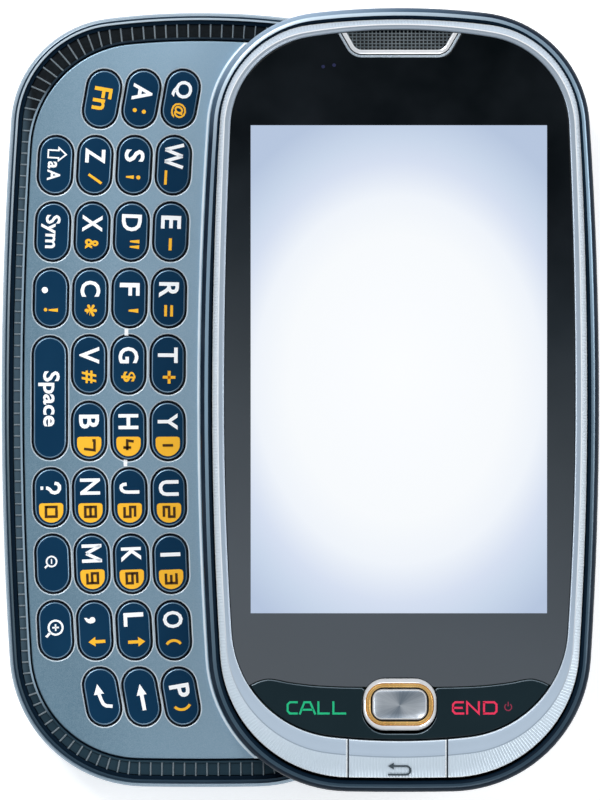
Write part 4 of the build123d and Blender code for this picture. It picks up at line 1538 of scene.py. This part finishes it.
baseCase = {
    "backRound": 3.2,
    "steps": 10,
    # Loops over the rim: inset, drop below the rim's top, finish of the strip that ends there
    "rim": (
        (0.0, 0.9, 0), (0.05, 0.55, 0), (0.17, 0.28, 0), (0.34, 0.12, 0), (0.44, 0.08, 0), (0.48, 0.1, 3),
        (0.68, 0.12, 3), (0.73, 0.01, 1), (0.78, 0.0, 1), (0.92, 0.0, 1), (0.97, 0.06, 1), (1.0, 0.3, 2),
        (1.5, 0.34, 2),
    ),
    "beyond": (60.0, 80.0, 2.0),
    "coreBevel": 2.0,
    "coreTop": 0.5,
    "coreIn": 1.15,
    "coverWall": 1.0,
    "coverEnd": 14.0,
    "coverSide": 3.4,
    "coverGap": 0.15,
    "batteryBay": ((-17.8, -39.2), (17.8, 12.4), 5.35),
    "boardBay": ((-20.3, 16.1), (20.3, 38.7), 1.2),
    "camera": (9.0, 32.0, 3.48),
    "speaker": (-9.0, 32.0),
    "slots": 4,
    "slotSize": (0.9, 7.2),
    "slotPitch": 2.0,
    "socket": ((20.0, 20.6, 1.85), (28.0, 28.4, 4.65)),
    "volumePocket": ((24.8, -1.15, 3.75), (28.0, 13.15, 5.45)),
    "screws": (16.9, 41.9),
    "screwHole": 0.8,
    "screwWell": 1.6,
    "screwDepth": 2.0,
    "hollow": (8.0, 5.0, 0.35),
    # Share of the hollow's depth at each loop, and how much of its width it loses towards its floor
    "hollowLevels": (-1.0, 0.0, 0.5, 0.85, 1.0),
    "hollowTaper": 0.6,
}
trayFloor = boxOf("ribbed_band")[0].z


def shifted(low, high):
    return Shape(box((low[0] + baseX, *low[1:]), (high[0] + baseX, *high[1:])))


def coreShape(inset):
    # What the bottom and the walls leave inside
    size = baseCase
    full = outline(baseShape, inset)
    narrow = outline(baseShape, inset + size["coreBevel"])
    levels = ((narrow, inset), (full, inset + size["coreBevel"]), (full, baseHigh.z - size["coreTop"]))
    return Shape(loft([lift(loop, level) for loop, level in levels]))


def coverZone(gap):
    size = baseCase
    x, y, z = size["beyond"]
    return shifted((-x, -y, -z), (x, size["coverEnd"] + gap, size["coverSide"] + gap))


def outerForm():
    return trayForm(baseShape, baseLow.z, baseHigh.z, trayFloor, baseCase)


def barrel(x, y, radius, low, high, steps=40):
    return prism(circlePath(x + baseX, y, radius, steps), low, high)


def makeBaseCase():
    size = baseCase
    finishes = [casePaint, rimShine, rimTrench, rimDark]
    made = buildPiece("baseCase", outerForm(), finishes)
    ring = buildPiece("coverZone", coverZone(size["coverGap"]), finishes)
    cut(ring, buildPiece("core", coreShape(size["coreIn"]), finishes))
    cut(made, ring)
    lowCorner, highCorner, top = size["batteryBay"]
    batteryBay = shifted((*lowCorner, -past), (*highCorner, top))
    lowCorner, highCorner, floor = size["boardBay"]
    boardBay = shifted((*lowCorner, floor), (*highCorner, trayFloor + past))
    x, y, radius = size["camera"]
    cameraHole = Shape(barrel(x, y, radius, -past, floor + past))
    x, y = size["speaker"]
    speakerSlots = Shape()
    for index in range(size["slots"]):
        across = x + baseX + (index - (size["slots"] - 1) / 2) * size["slotPitch"]
        slot = prism(stadium(*size["slotSize"]), -past, floor + past)
        speakerSlots.add(*slot, place=Matrix.Translation((across, y, 0)))
    openings = [batteryBay, boardBay, cameraHole, speakerSlots]
    openings += [shifted(*size["socket"]), shifted(*size["volumePocket"])]
    x, y = size["screws"]
    for radius, depth in ((size["screwWell"], size["screwDepth"]), (size["screwHole"], baseHigh.z)):
        corners = ((-x, -y), (-x, y), (x, -y), (x, y))
        openings.append(Shape(*[barrel(*corner, radius, -past, depth, steps=24) for corner in corners]))
    for opening in openings:
        cut(made, buildPiece("opening", opening, finishes))
    finishPiece(made, "keyboard_half", "case_paint", "base_case")


def makeCover():
    size = baseCase
    made = buildPiece("batteryCover", outerForm(), [coverPaint])
    cut(made, buildPiece("coverZone", coverZone(0.0), [coverPaint]), "INTERSECT")
    cut(made, buildPiece("core", coreShape(size["coverWall"]), [coverPaint]))
    width, length, depth = size["hollow"]
    middle = (baseX, size["coverEnd"] - length)
    rings = []
    for share in size["hollowLevels"]:
        spread = 1.0 if share < 0 else sqrt(1 - size["hollowTaper"] * share**2)
        loop = [(x * spread + middle[0], y * spread + middle[1]) for x, y in stadium(length, width * 2)]
        turned = [(middle[0] + (y - middle[1]), middle[1] - (x - middle[0])) for x, y in loop]
        rings.append(lift(turned, share * depth))
    cut(made, buildPiece("thumbHollow", Shape(loft(rings)), [coverPaint]))
    finishPiece(made, "battery_cover", "cover_paint", "battery_cover")


makeBaseCase()
makeCover()
print("stage: keyboard half's case and cover made")

band = {
    "gap": 0.1,
    "baseDrop": 0.25,
    "lipHigh": 0.2,
    "lipOut": 0.47,
    "lipIn": 0.24,
    "lipLean": (0.04, 0.03),
    "trench": 0.35,
    "ribs": {"Spacing": 1.52, "Width": 0.22, "Height": 0.44},
    "ribInset": 0.05,
    "endReach": 0.4,
    "cornerReach": 0.7,
}


def makeBand():
    size = band
    low, high = boxOf("ribbed_band")
    top = high.z - size["baseDrop"]
    lipTop, trench = top + size["lipHigh"], top - size["trench"]
    leanOut, leanIn = size["lipLean"]
    outer = outline(baseShape, wallThickness + size["gap"])
    inner = outline(deckShape, -size["gap"])
    lip = [-size["lipOut"] - leanOut, -size["lipOut"], -size["lipIn"], leanIn - size["lipIn"]]
    lip = [outline(deckShape, inset) for inset in lip]
    rings = [
        lift(outer, low.z), lift(outer, top), lift(lip[0], top), lift(lip[1], lipTop), lift(lip[2], lipTop),
        lift(lip[3], trench), lift(inner, trench), lift(inner, low.z),
    ]
    shape = paintedLoft(rings, [0, 0, 1, 1, 2, 2, 2, 0], closed=True)
    made = buildPiece("bandBase", shape, [bandBlack, bandLip, rimTrench])
    finishPiece(made, "keyboard_half", "band_black", "ribbed_band")
    # The ribs reach a little further out at the two ends and in the corners
    ribShape = {**baseShape, **{end: baseShape[end] + size["endReach"] for end in ("top", "bottom")}}
    ribShape["bottomCorner"] -= size["cornerReach"]
    outer = outline(ribShape, wallThickness + size["gap"] + size["ribInset"], fineSteps)
    inner = outline(deckShape, -size["lipOut"] + size["ribInset"], fineSteps)
    reach = [flat.to_3d() for flat in acrossReach(outer, inner)]
    ribs = ribRow("bandRibs", lift(outer, top), reach, size["ribs"], ribGrey, closed=True)
    finishPiece(ribs, "keyboard_half", "band_black")


deck = {
    "thickness": 0.85,
    "runwayRise": 0.55,
    "holeBevel": 0.17,
    "runwayMargin": 0.45,
    "runwayInset": 0.02,
    "runwaySink": 0.05,
    "runwayBevel": 0.3,
    "pocketMargin": 0.1,
    "markSize": (0.25, 0.45),
    "markPlaces": ((-23.2, 9.07), (-23.33, -8.4)),
    "markLift": 0.02,
    "markSink": 0.1,
}


def makeDeck():
    size = deck
    widen = 2 * keys["gap"]
    holes = [
        placed(stadium(keys["width"] + widen, length + widen), place)
        for entry, place, length, low, high in keyPlaces()
    ]
    deckTop = deckHigh.z - size["runwayRise"]
    low = deckTop - size["thickness"]
    shape = plate(outline(deckShape), holes, low, deckTop, size["holeBevel"], holeFinish=1)
    made = welded(buildPiece("keyDeck", shape, [deckPaint, deckEdgeHighlight]))
    finishPiece(made, "keyboard_half", "deck_paint", "keyboard_deck")
    shown = outline(displayShape, -size["runwayMargin"])
    loop = convexCommon(shown, outline(deckShape, size["runwayInset"]))
    low, high = boxOf("slide_rails")
    margin = size["pocketMargin"]
    pocket = rectangle((low.x - margin, low.y - margin), (high.x + margin, high.y + margin))
    foot = deckTop - size["runwaySink"]
    raised = plate(loop, [pocket], foot, deckHigh.z, size["runwayBevel"], steps=5, outerFinish=1)
    made = welded(buildPiece("runway", raised, [deckPaint, deckEdgeHighlight]))
    finishPiece(made, "keyboard_half", "deck_paint")
    marks = Shape()
    halfX, halfY = size["markSize"]
    low, high = deckTop - size["markSink"], deckTop + size["markLift"]
    for x, y in size["markPlaces"]:
        marks.add(*box((x - halfX, y - halfY, low), (x + halfX, y + halfY, high)))
    finishPiece(buildPiece("homeRowMarks", marks, [printWhite]), "keyboard_half", "deck_paint")


def convexCommon(first, second):
    # Shared area of two convex loops
    leastSide = 0.01
    onEdge = -1e-6

    def inside(point, loop):
        return all(crossed(b - a, point - a) >= onEdge for a, b in sidesOf(loop))

    points = [point for point in first if inside(point, second)]
    points += [point for point in second if inside(point, first)]
    for a, b in sidesOf(first):
        for c, d in sidesOf(second):
            run, other = b - a, d - c
            across = crossed(run, other)
            if abs(across) < parallel:
                continue
            share = crossed(c - a, other) / across
            along = crossed(c - a, run) / across
            if 0 <= share <= 1 and 0 <= along <= 1:
                points.append(a + run * share)
    middle = sum(points, Vector((0.0, 0.0))) / len(points)
    points.sort(key=lambda point: atan2(point.y - middle.y, point.x - middle.x))
    return [point for before, point, after in around(points) if (point - before).length > leastSide]


keys = {
    "width": 4.5,
    "length": 7.75,
    "gap": 0.17,
    "rowTilt": (0.4, 1.0, 2.1, 3.1, 10.0),
    "spaceLength": 16.33,
    # Loops from the wall to the top: inset, drop below the key's height, finish of the strip that ends there
    "profile": (
        (0.0, 0.38, 1), (0.04, 0.28, 1), (0.14, 0.15, 1), (0.18, 0.12, 2), (0.26, 0.1, 2), (0.32, 0.095, 0),
        (1.3, 0.09, 0),
    ),
    "smoothLimit": 25.0,
    "footWidth": 1.6,
    "footReach": 0.47,
    "footHeight": 0.35,
}

# Each key: its name, its main mark and its second mark
keyColumns = (
    (("q", "Q", "@"), ("w", "W", "_"), ("e", "E", "-"), ("r", "R", "="), ("t", "T", "+"),
     ("y", "Y", "1"), ("u", "U", "2"), ("i", "I", "3"), ("o", "O", "("), ("p", "P", ")")),
    (("a", "A", ":"), ("s", "S", ";"), ("d", "D", "\""), ("f", "F", "'"), ("g", "G", "$"),
     ("h", "H", "4"), ("j", "J", "5"), ("k", "K", "6"), ("l", "L", "up"), ("backspace", "back", "")),
    (("fn", "", "Fn"), ("z", "Z", "/"), ("x", "X", "&"), ("c", "C", "*"), ("v", "V", "#"),
     ("b", "B", "7"), ("n", "N", "8"), ("m", "M", "9"), ("comma", ",", "down"), ("enter", "enter", "")),
    (None, ("shift", "shift", ""), ("sym", "Sym", ""), ("period", ".", "!"), ("space", "Space", ""),
     None, ("question", "?", "0"), ("zoom_out", "out", ""), ("zoom_in", "in", ""), None),
)


def keyPlaces():
    # Each key's entry, its place and turn, its length, and the heights of its foot and top
    for column in keyColumns:
        for row, entry in enumerate(column):
            if entry is None:
                continue
            low, high = boxOf(f"key_{entry[0]}")
            middle = (low + high) / 2
            fromMiddle = (len(column) - 1) / 2 - row
            tilt = keys["rowTilt"][int(abs(fromMiddle))] * (-1 if fromMiddle > 0 else 1)
            length = keys["length"]
            if entry[0] == "space":
                tilt, length = 0.0, keys["spaceLength"]
            place = Matrix.Translation((middle.x, middle.y, 0.0)) @ Matrix.Rotation(radians(tilt), 4, "Z")
            yield entry, place, length, low.z, high.z


def keyShape(length, low, high):
    size = keys
    rings = [lift(stadium(size["width"], length), low)]
    for inset, drop, finish in size["profile"]:
        rings.append(lift(stadium(size["width"], length, inset), high - drop))
    shape = paintedLoft(rings, [row[-1] for row in size["profile"]])
    halfX, halfY = size["footWidth"] / 2, length / 2 + size["footReach"]
    shape.add(*box((-halfX, -halfY, low), (halfX, halfY, low + size["footHeight"])), 1)
    return shape


legends = {
    "mainHeight": 2.66,
    "mainY": 1.25,
    "mainMoved": {
        "A": 0.8, "P": 0.8, "N": 1.45, "O": 1.45, "L": 1.45, "M": 1.4, "X": 1.1, "R": 1.1,
        "D": 1.18, "F": 1.18,
    },
    # Widths of the main letters
    "mainWidth": {
        "A": 2.26, "B": 1.86, "C": 2.15, "D": 2.26, "E": 1.75, "F": 1.7, "G": 2.19, "H": 2.02,
        "I": 0.5, "K": 1.95, "L": 1.83, "N": 2.17, "O": 2.28, "P": 1.81, "Q": 2.38, "R": 2.05,
        "S": 1.67, "T": 2.07, "U": 2.1, "V": 2.26, "X": 2.26, "Y": 2.21, "Z": 2.02,
    },
    "letterStroke": 0.44,
    "weight": 0.022,
    "lift": 0.045,
    "patchLift": 0.055,
    "digitLift": 0.012,
    "sink": 0.2,
    "patchTop": -0.77,
    "patchMiddle": -1.75,
    "patchHalf": 1.62,
    "patchCorner": 0.35,
    "patchBend": 0.3,
    "digitBox": (1.4, 1.3),
    "digitY": -1.92,
    "digitStroke": 0.34,
    # Letters drawn stroke by stroke: height and width between stroke middles, then strokes in a unit square
    "drawn": {
        "J": (2.22, 1.08, (
            ((0.0, 0.34), (0.06, 0.13), (0.22, 0.02), (0.45, 0.0), (0.75, 0.05), (0.95, 0.2),
             (1.0, 0.42), (1.0, 1.1)),
        )),
        "M": (2.66, 2.0, (
            ((0.0, 0.0), (0.0, 1.0)), ((1.0, 0.0), (1.0, 1.0)),
            ((0.02, 0.94), (0.5, 0.22)), ((0.98, 0.94), (0.5, 0.22)),
        )),
        "W": (2.56, 3.0, (
            ((0.0, 1.0), (0.24, 0.05)), ((0.24, 0.05), (0.5, 0.95)),
            ((0.5, 0.95), (0.76, 0.05)), ((0.76, 0.05), (1.0, 1.0)),
        )),
        "?": (2.3, 1.3, (
            ((0.0, 0.72), (0.08, 0.9), (0.3, 1.0), (0.62, 1.0), (0.9, 0.9), (1.0, 0.72), (0.92, 0.56),
             (0.62, 0.42), (0.5, 0.3), (0.5, 0.22)),
            ((0.5, 0.06), (0.5, -0.1)),
        )),
    },
    # Marks made of letters: height, width, place across the key, place along it
    "letters": {
        "@": (2.0, 2.1, 0.0, -1.65),
        "$": (1.9, 1.38, 0.0, -1.65),
        "&": (1.8, 1.35, 0.0, -1.65),
        "*": (1.67, 1.6, 0.1, -1.65),
        "#": (1.93, 1.68, 0.0, -1.65),
        ",": (1.5, 0.85, -0.6, 1.36),
        "Fn": (2.4, 3.07, 0.0, 0.0),
        "Sym": (2.55, 4.45, -0.3, 0.0),
        "Space": (2.86, 7.4, -0.12, -0.15),
        "a": (1.25, 0.95, -0.42, 0.02),
        "A": (1.74, 1.47, -0.18, -1.33),
    },
    # Marks drawn with bars: place, then size across and along the key
    "bars": {
        "_": ((-0.94, -1.7, 0.35, 1.9),),
        "-": ((0.0, -1.7, 0.4, 1.6),),
        "=": ((-0.4, -1.7, 0.36, 1.5), (0.4, -1.7, 0.36, 1.5)),
        "+": ((0.2, -1.7, 0.38, 1.7), (0.2, -1.7, 1.7, 0.38)),
    },
    # Marks drawn with bars that taper to the left: place, then size across and along the key
    "wedges": {
        "\"": ((0.48, -1.3, 1.25, 0.5), (0.48, -2.03, 1.25, 0.5)),
        "'": ((0.55, -1.68, 1.3, 0.56),),
        "!": ((0.33, -1.6, 1.25, 0.48),),
        ";": ((-0.48, -1.6, 1.05, 0.48),),
    },
    "wedgeTip": 0.4,
    # Marks drawn with round dots: place and radius
    "dots": {
        ":": ((-0.62, -1.65, 0.28), (0.62, -1.65, 0.28)),
        ";": ((0.65, -1.6, 0.28),),
        ".": ((-0.84, 1.06, 0.42),),
        "!": ((-0.7, -1.56, 0.24),),
    },
    # Marks drawn with strokes: width of the stroke, then its path
    "strokes": {
        "/": (0.35, ((-0.76, -1.26), (1.02, -2.39))),
        "(": (0.36, circlePath(-0.05, -2.5, 1.15, steps=8, first=radians(35), last=radians(145))),
        ")": (0.36, circlePath(0.0, -0.48, 1.25, steps=8, first=radians(215), last=radians(325))),
        "enter": (0.45, ((-0.36, 0.45), (-0.2, -0.4), (0.0, -1.0), (0.35, -1.3), (1.15, -1.48))),
    },
    # Arrows: tail, tip, stroke, half width and length of the head
    "arrows": {
        "up": ((-0.88, -1.55), (1.41, -1.55), 0.43, 0.64, 0.94),
        "down": ((1.33, -1.53), (-0.94, -1.53), 0.43, 0.64, 0.94),
        "back": ((0.1, -1.84), (0.05, 1.72), 0.5, 0.68, 1.5),
    },
    "enterHead": ((-0.37, 1.79), 0.68, 1.4),
    # Magnifiers: place, radius, stroke and how far out the handle reaches
    "zoom": {"in": (0.03, 0.36, 0.94, 0.27, 1.8), "out": (-0.16, 0.32, 0.67, 0.21, 1.25)},
    "zoomBar": (0.9, 0.22),
    "zoomHandle": (222.0, 1.2),
    "shiftArrow": (
        (-1.05, 0.99), (-1.05, 1.99), (0.35, 1.99), (0.35, 2.34), (1.34, 1.49), (0.35, 0.64), (0.35, 0.99)
    ),
    "shiftStroke": 0.2,
}
inks = [printWhite, printYellow, printDark]


def patchLoop():
    size = legends
    half, top, corner = size["patchHalf"], size["patchTop"], size["patchCorner"]
    bend = corner * size["patchBend"]
    loop = paths([(half, top - corner), (half - bend, top - bend), (half - corner, top)])[0]
    return loop + mirrored(loop) + circlePath(0.0, size["patchMiddle"], half, first=pi, last=2 * pi)


class Legend:
    # The marks printed on one key, in the key's own place
    def __init__(self, high):
        self.shape = Shape()
        self.low = high - legends["sink"]
        self.high = high
        self.top = high - legends["lift"]

    def letters(self, text, height, width, x, y, finish):
        points, faces = glyph(text, height, width, legends["weight"])
        rise = self.top - self.low
        self.shape.add([(px + x, py + y, self.low + pz * rise) for px, py, pz in points], faces, finish)

    def stroke(self, path, width, finish, closed=False):
        path = [Vector(point) for point in path]
        self.shape.add(*ribbon(path, width, self.low, self.top, closed), finish)

    def area(self, loop, finish):
        self.shape.add(*slab(loop, self.low, self.top), finish)

    def bar(self, x, y, across, along, finish):
        halfX, halfY = across / 2, along / 2
        self.shape.add(*box((x - halfX, y - halfY, self.low), (x + halfX, y + halfY, self.top)), finish)

    def wedge(self, x, y, halfAcross, halfAlong, finish):
        tip = halfAlong * legends["wedgeTip"]
        loop = [(-halfAcross, -tip), (halfAcross, -halfAlong), (halfAcross, halfAlong), (-halfAcross, tip)]
        self.area([Vector((x + across, y + along)) for across, along in loop], finish)

    def digit(self, mark):
        size = legends
        self.shape.add(*slab(patchLoop(), self.low, self.high - size["patchLift"]), 1)
        across, along = size["digitBox"]
        top = self.high - size["digitLift"]
        for path in digitStrokes[mark]:
            turned = [Vector(((p.y - 0.5) * across, size["digitY"] - (p.x - 0.5) * along)) for p in path]
            self.shape.add(*ribbon(turned, size["digitStroke"], self.low, top), 2)

    def magnifier(self, mark):
        size = legends
        x, y, radius, stroke, reach = size["zoom"][mark]
        self.stroke(circlePath(x, y, radius, steps=22), stroke, finish=0, closed=True)
        degrees, thicker = size["zoomHandle"]
        turn = radians(degrees)
        handle = [(x + far * cos(turn), y + far * sin(turn)) for far in (radius, reach)]
        self.stroke(handle, stroke * thicker, 0)
        scale = radius / size["zoom"]["in"][2]
        long, thick = (part * scale for part in size["zoomBar"])
        self.bar(x, y, thick, long, 0)
        if mark == "in":
            self.bar(x, y, long, thick, 0)

    def mark(self, mark, finish):
        size = legends
        if mark in size["letters"]:
            self.letters(mark, *size["letters"][mark], finish)
        for x, y, across, along in size["bars"].get(mark, ()):
            self.bar(x, y, across, along, finish)
        for x, y, across, along in size["wedges"].get(mark, ()):
            self.wedge(x, y, across / 2, along / 2, finish)
        for x, y, radius in size["dots"].get(mark, ()):
            self.area(circlePath(x, y, radius, steps=12), finish)
        if mark in size["strokes"]:
            width, path = size["strokes"][mark]
            self.stroke(path, width, finish)
        if mark in size["arrows"]:
            tail, tip, stroke, half, length = size["arrows"][mark]
            self.area(arrow(Vector(tail), Vector(tip), stroke, half, length), finish)
        if mark == "enter":
            tip, half, length = size["enterHead"]
            self.area(arrowHead(Vector(tip), Vector((0.0, 1.0)), half, length), finish)
        if mark in size["zoom"]:
            self.magnifier(mark)
        if mark == "shift":
            self.stroke(size["shiftArrow"], size["shiftStroke"], finish, True)
            self.mark("a", finish)
            self.mark("A", finish)

    def mainLetter(self, mark):
        size = legends
        y = size["mainMoved"].get(mark, size["mainY"])
        if mark in size["drawn"]:
            across, along, strokes = size["drawn"][mark]
            for path in strokes:
                turned = [((v - 0.5) * across, y - (u - 0.5) * along) for u, v in path]
                self.stroke(turned, size["letterStroke"], 0)
        else:
            self.letters(mark, size["mainHeight"], size["mainWidth"][mark], 0.0, y, 0)


def legendShape(main, second, high):
    legend = Legend(high)
    if main in legends["drawn"] or main in legends["mainWidth"]:
        legend.mainLetter(main)
    else:
        legend.mark(main, 0)
    if second in digitStrokes:
        legend.digit(second)
    else:
        legend.mark(second, 1)
    return legend.shape


def makeKeys():
    for (name, main, second), place, length, low, high in keyPlaces():
        body = bodyOf[f"key_{name}"]
        title = name.title().replace("_", "")
        cap = keyShape(length, low, high)
        cap.points = [place @ point for point in cap.points]
        made = buildPiece(f"key{title}", cap, [keyNavy, keyEdgeShade, keyLineHighlight], keys["smoothLimit"])
        finishPiece(made, body, "key_navy", f"key_{name}")
        legend = legendShape(main, second, high)
        if legend.points:
            legend.points = [place @ point for point in legend.points]
            finishPiece(welded(buildPiece(f"legend{title}", legend, inks)), body, "key_navy")


makeBand()
makeDeck()
print("stage: band and deck made")
makeKeys()
print("stage: keys and their legends made")

camera = {
    "middle": (9.0, 32.0),
    "steps": 48,
    # Lathe profile from the ring's upper end: radius, height, finish of the strip that ends there
    "profile": (
        (3.4, 2.0, 0), (3.4, 0.18, 0), (3.33, 0.05, 0), (3.2, 0.0, 0), (2.9, 0.0, 0), (2.75, 0.08, 0),
        (2.7, 0.3, 1), (2.0, 0.5, 1), (1.5, 0.8, 1), (1.45, 0.84, 0), (1.3, 0.84, 0), (1.25, 0.78, 2),
        (0.9, 0.68, 2), (0.4, 0.62, 2),
    ),
}


def makeCamera():
    size = camera
    x, y = size["middle"]
    rings = [
        lift(circlePath(baseX + x, y, radius, size["steps"]), height)
        for radius, height, finish in size["profile"]
    ]
    shape = paintedLoft(rings, [row[-1] for row in size["profile"][1:]])
    made = buildPiece("cameraLens", shape, [chrome, panelBlack, lensGlass])
    finishPiece(made, "keyboard_half", "lens_glass", "camera_lens")


makeCamera()

# Finishes of the nodes that keep their own shape
for node, finish in {
    "battery": batteryWrap,
    "main_board": circuitBoard,
    "key_membrane": darkRubber,
    "slide_rails": railSteel,
    "case_screws": screwSteel,
    "volume_key": volumeGloss,
    "slide_carriage": railSteel,
    "slider_board": circuitBoard,
    "display_module": panelBlack,
    "earpiece_mesh": darkGap,
}.items():
    piece = frame["nodes"][node]
    piece.data.materials.clear()
    piece.data.materials.append(finish)

# The main board's loudspeaker and camera body are black, its shield and socket steel
boardTop = 2.01
blackFrom = 27.0
board = frame["nodes"]["main_board"]
for finish in (darkRubber, shieldSteel):
    board.data.materials.append(finish)
for face in board.data.polygons:
    spot = board.matrix_world @ face.center / mm
    if spot.z > boardTop:
        face.material_index = 1 if spot.y > blackFrom else 2
print("stage: carried-over nodes finished")

studio = {
    "cameraHeight": 3.0,
    "viewLength": 800 / 7.5 * mm,
    "sensor": 36.0,
    "floorSize": 8.0,
    "floorDrop": 0.03,  # clear of the phone's back, so the two never lie in one plane
    "floorLift": (0.46, 0.465, 0.47, 1.0),
    "floorShades": ((0.95, 0.96, 0.97, 1.0), (0.92, 0.93, 0.95, 1.0)),
    "cloudSize": 400.0,
    "cloudShare": 0.2,
    "sky": (0.95, 0.97, 1.0, 1.0),
    "zenith": 0.3,
    "horizon": 0.78,
    "lamps": (
        ("keyLight", (-0.45, 0.65, 0.75), 0.45, 7.7),
        ("sideLight", (0.8, 0.1, 0.5), 0.4, 3.4),
        ("lowLight", (0.1, -0.9, 0.5), 0.5, 1.7),
    ),
}


def makeStudio():
    floorFinish = Finish("paleFloor", rough=0.8, specular=0.1, glowStrength=1.0)
    spot = floorFinish.place()
    cloud = floorFinish.grain(spot, size=studio["cloudSize"])
    # Lifts the floor for what looks at it or mirrors it, and lights nothing
    rays = floorFinish.add("ShaderNodeLightPath").outputs
    seen = [Wire(floorFinish, rays[f"Is {kind} Ray"]) for kind in ("Camera", "Glossy", "Transmission")]
    lifted = (seen[0] + seen[1] + seen[2]).clamp()
    floorFinish.feed("glow", floorFinish.blend(lifted, (0.0, 0.0, 0.0, 1.0), studio["floorLift"]))
    floorFinish.feed("colour", floorFinish.blend(cloud * studio["cloudShare"], *studio["floorShades"]))
    half = studio["floorSize"] / 2 / mm
    corners = lift(rectangle((-half, -half), (half, half)), -studio["floorDrop"])
    floor = buildPiece("floor", Shape((corners, [(0, 1, 2, 3)])), [floorFinish.material])
    floor.data.transform(Matrix.Scale(mm, 4))

    world = bpy.data.worlds.new("studio")
    world.use_nodes = True
    scene.world = world
    sky = Nodes(world.node_tree)
    direction = sky.add("ShaderNodeTexCoord").outputs["Generated"]
    up = Wire(sky, sky.add("ShaderNodeSeparateXYZ", inputs={0: direction}).outputs[2])
    level = studio["horizon"] + (studio["zenith"] - studio["horizon"]) * up.rise(low=0.1, high=0.95)
    background = world.node_tree.nodes["Background"]
    world.node_tree.links.new(level.socket, background.inputs["Strength"])
    background.inputs["Color"].default_value = studio["sky"]

    for name, spotAt, size, power in studio["lamps"]:
        light = bpy.data.lights.new(name, "AREA")
        light.size = size
        light.energy = power
        lamp = bpy.data.objects.new(name, light)
        lamp.location = spotAt
        lamp.rotation_mode = "QUATERNION"
        lamp.rotation_quaternion = Vector(spotAt).to_track_quat("Z", "Y")
        scene.collection.objects.link(lamp)

    lens = bpy.data.cameras.new("camera")
    lens.sensor_width = studio["sensor"]
    lens.lens = studio["sensor"] * (studio["cameraHeight"] - frameHigh.z * mm) / studio["viewLength"]
    lens.clip_end = 20.0
    viewer = bpy.data.objects.new("camera", lens)
    viewer.location = (0.0, 0.0, studio["cameraHeight"])
    scene.collection.objects.link(viewer)
    scene.camera = viewer
    scene.view_settings.view_transform = "Standard"


makeStudio()
print("stage: studio made")
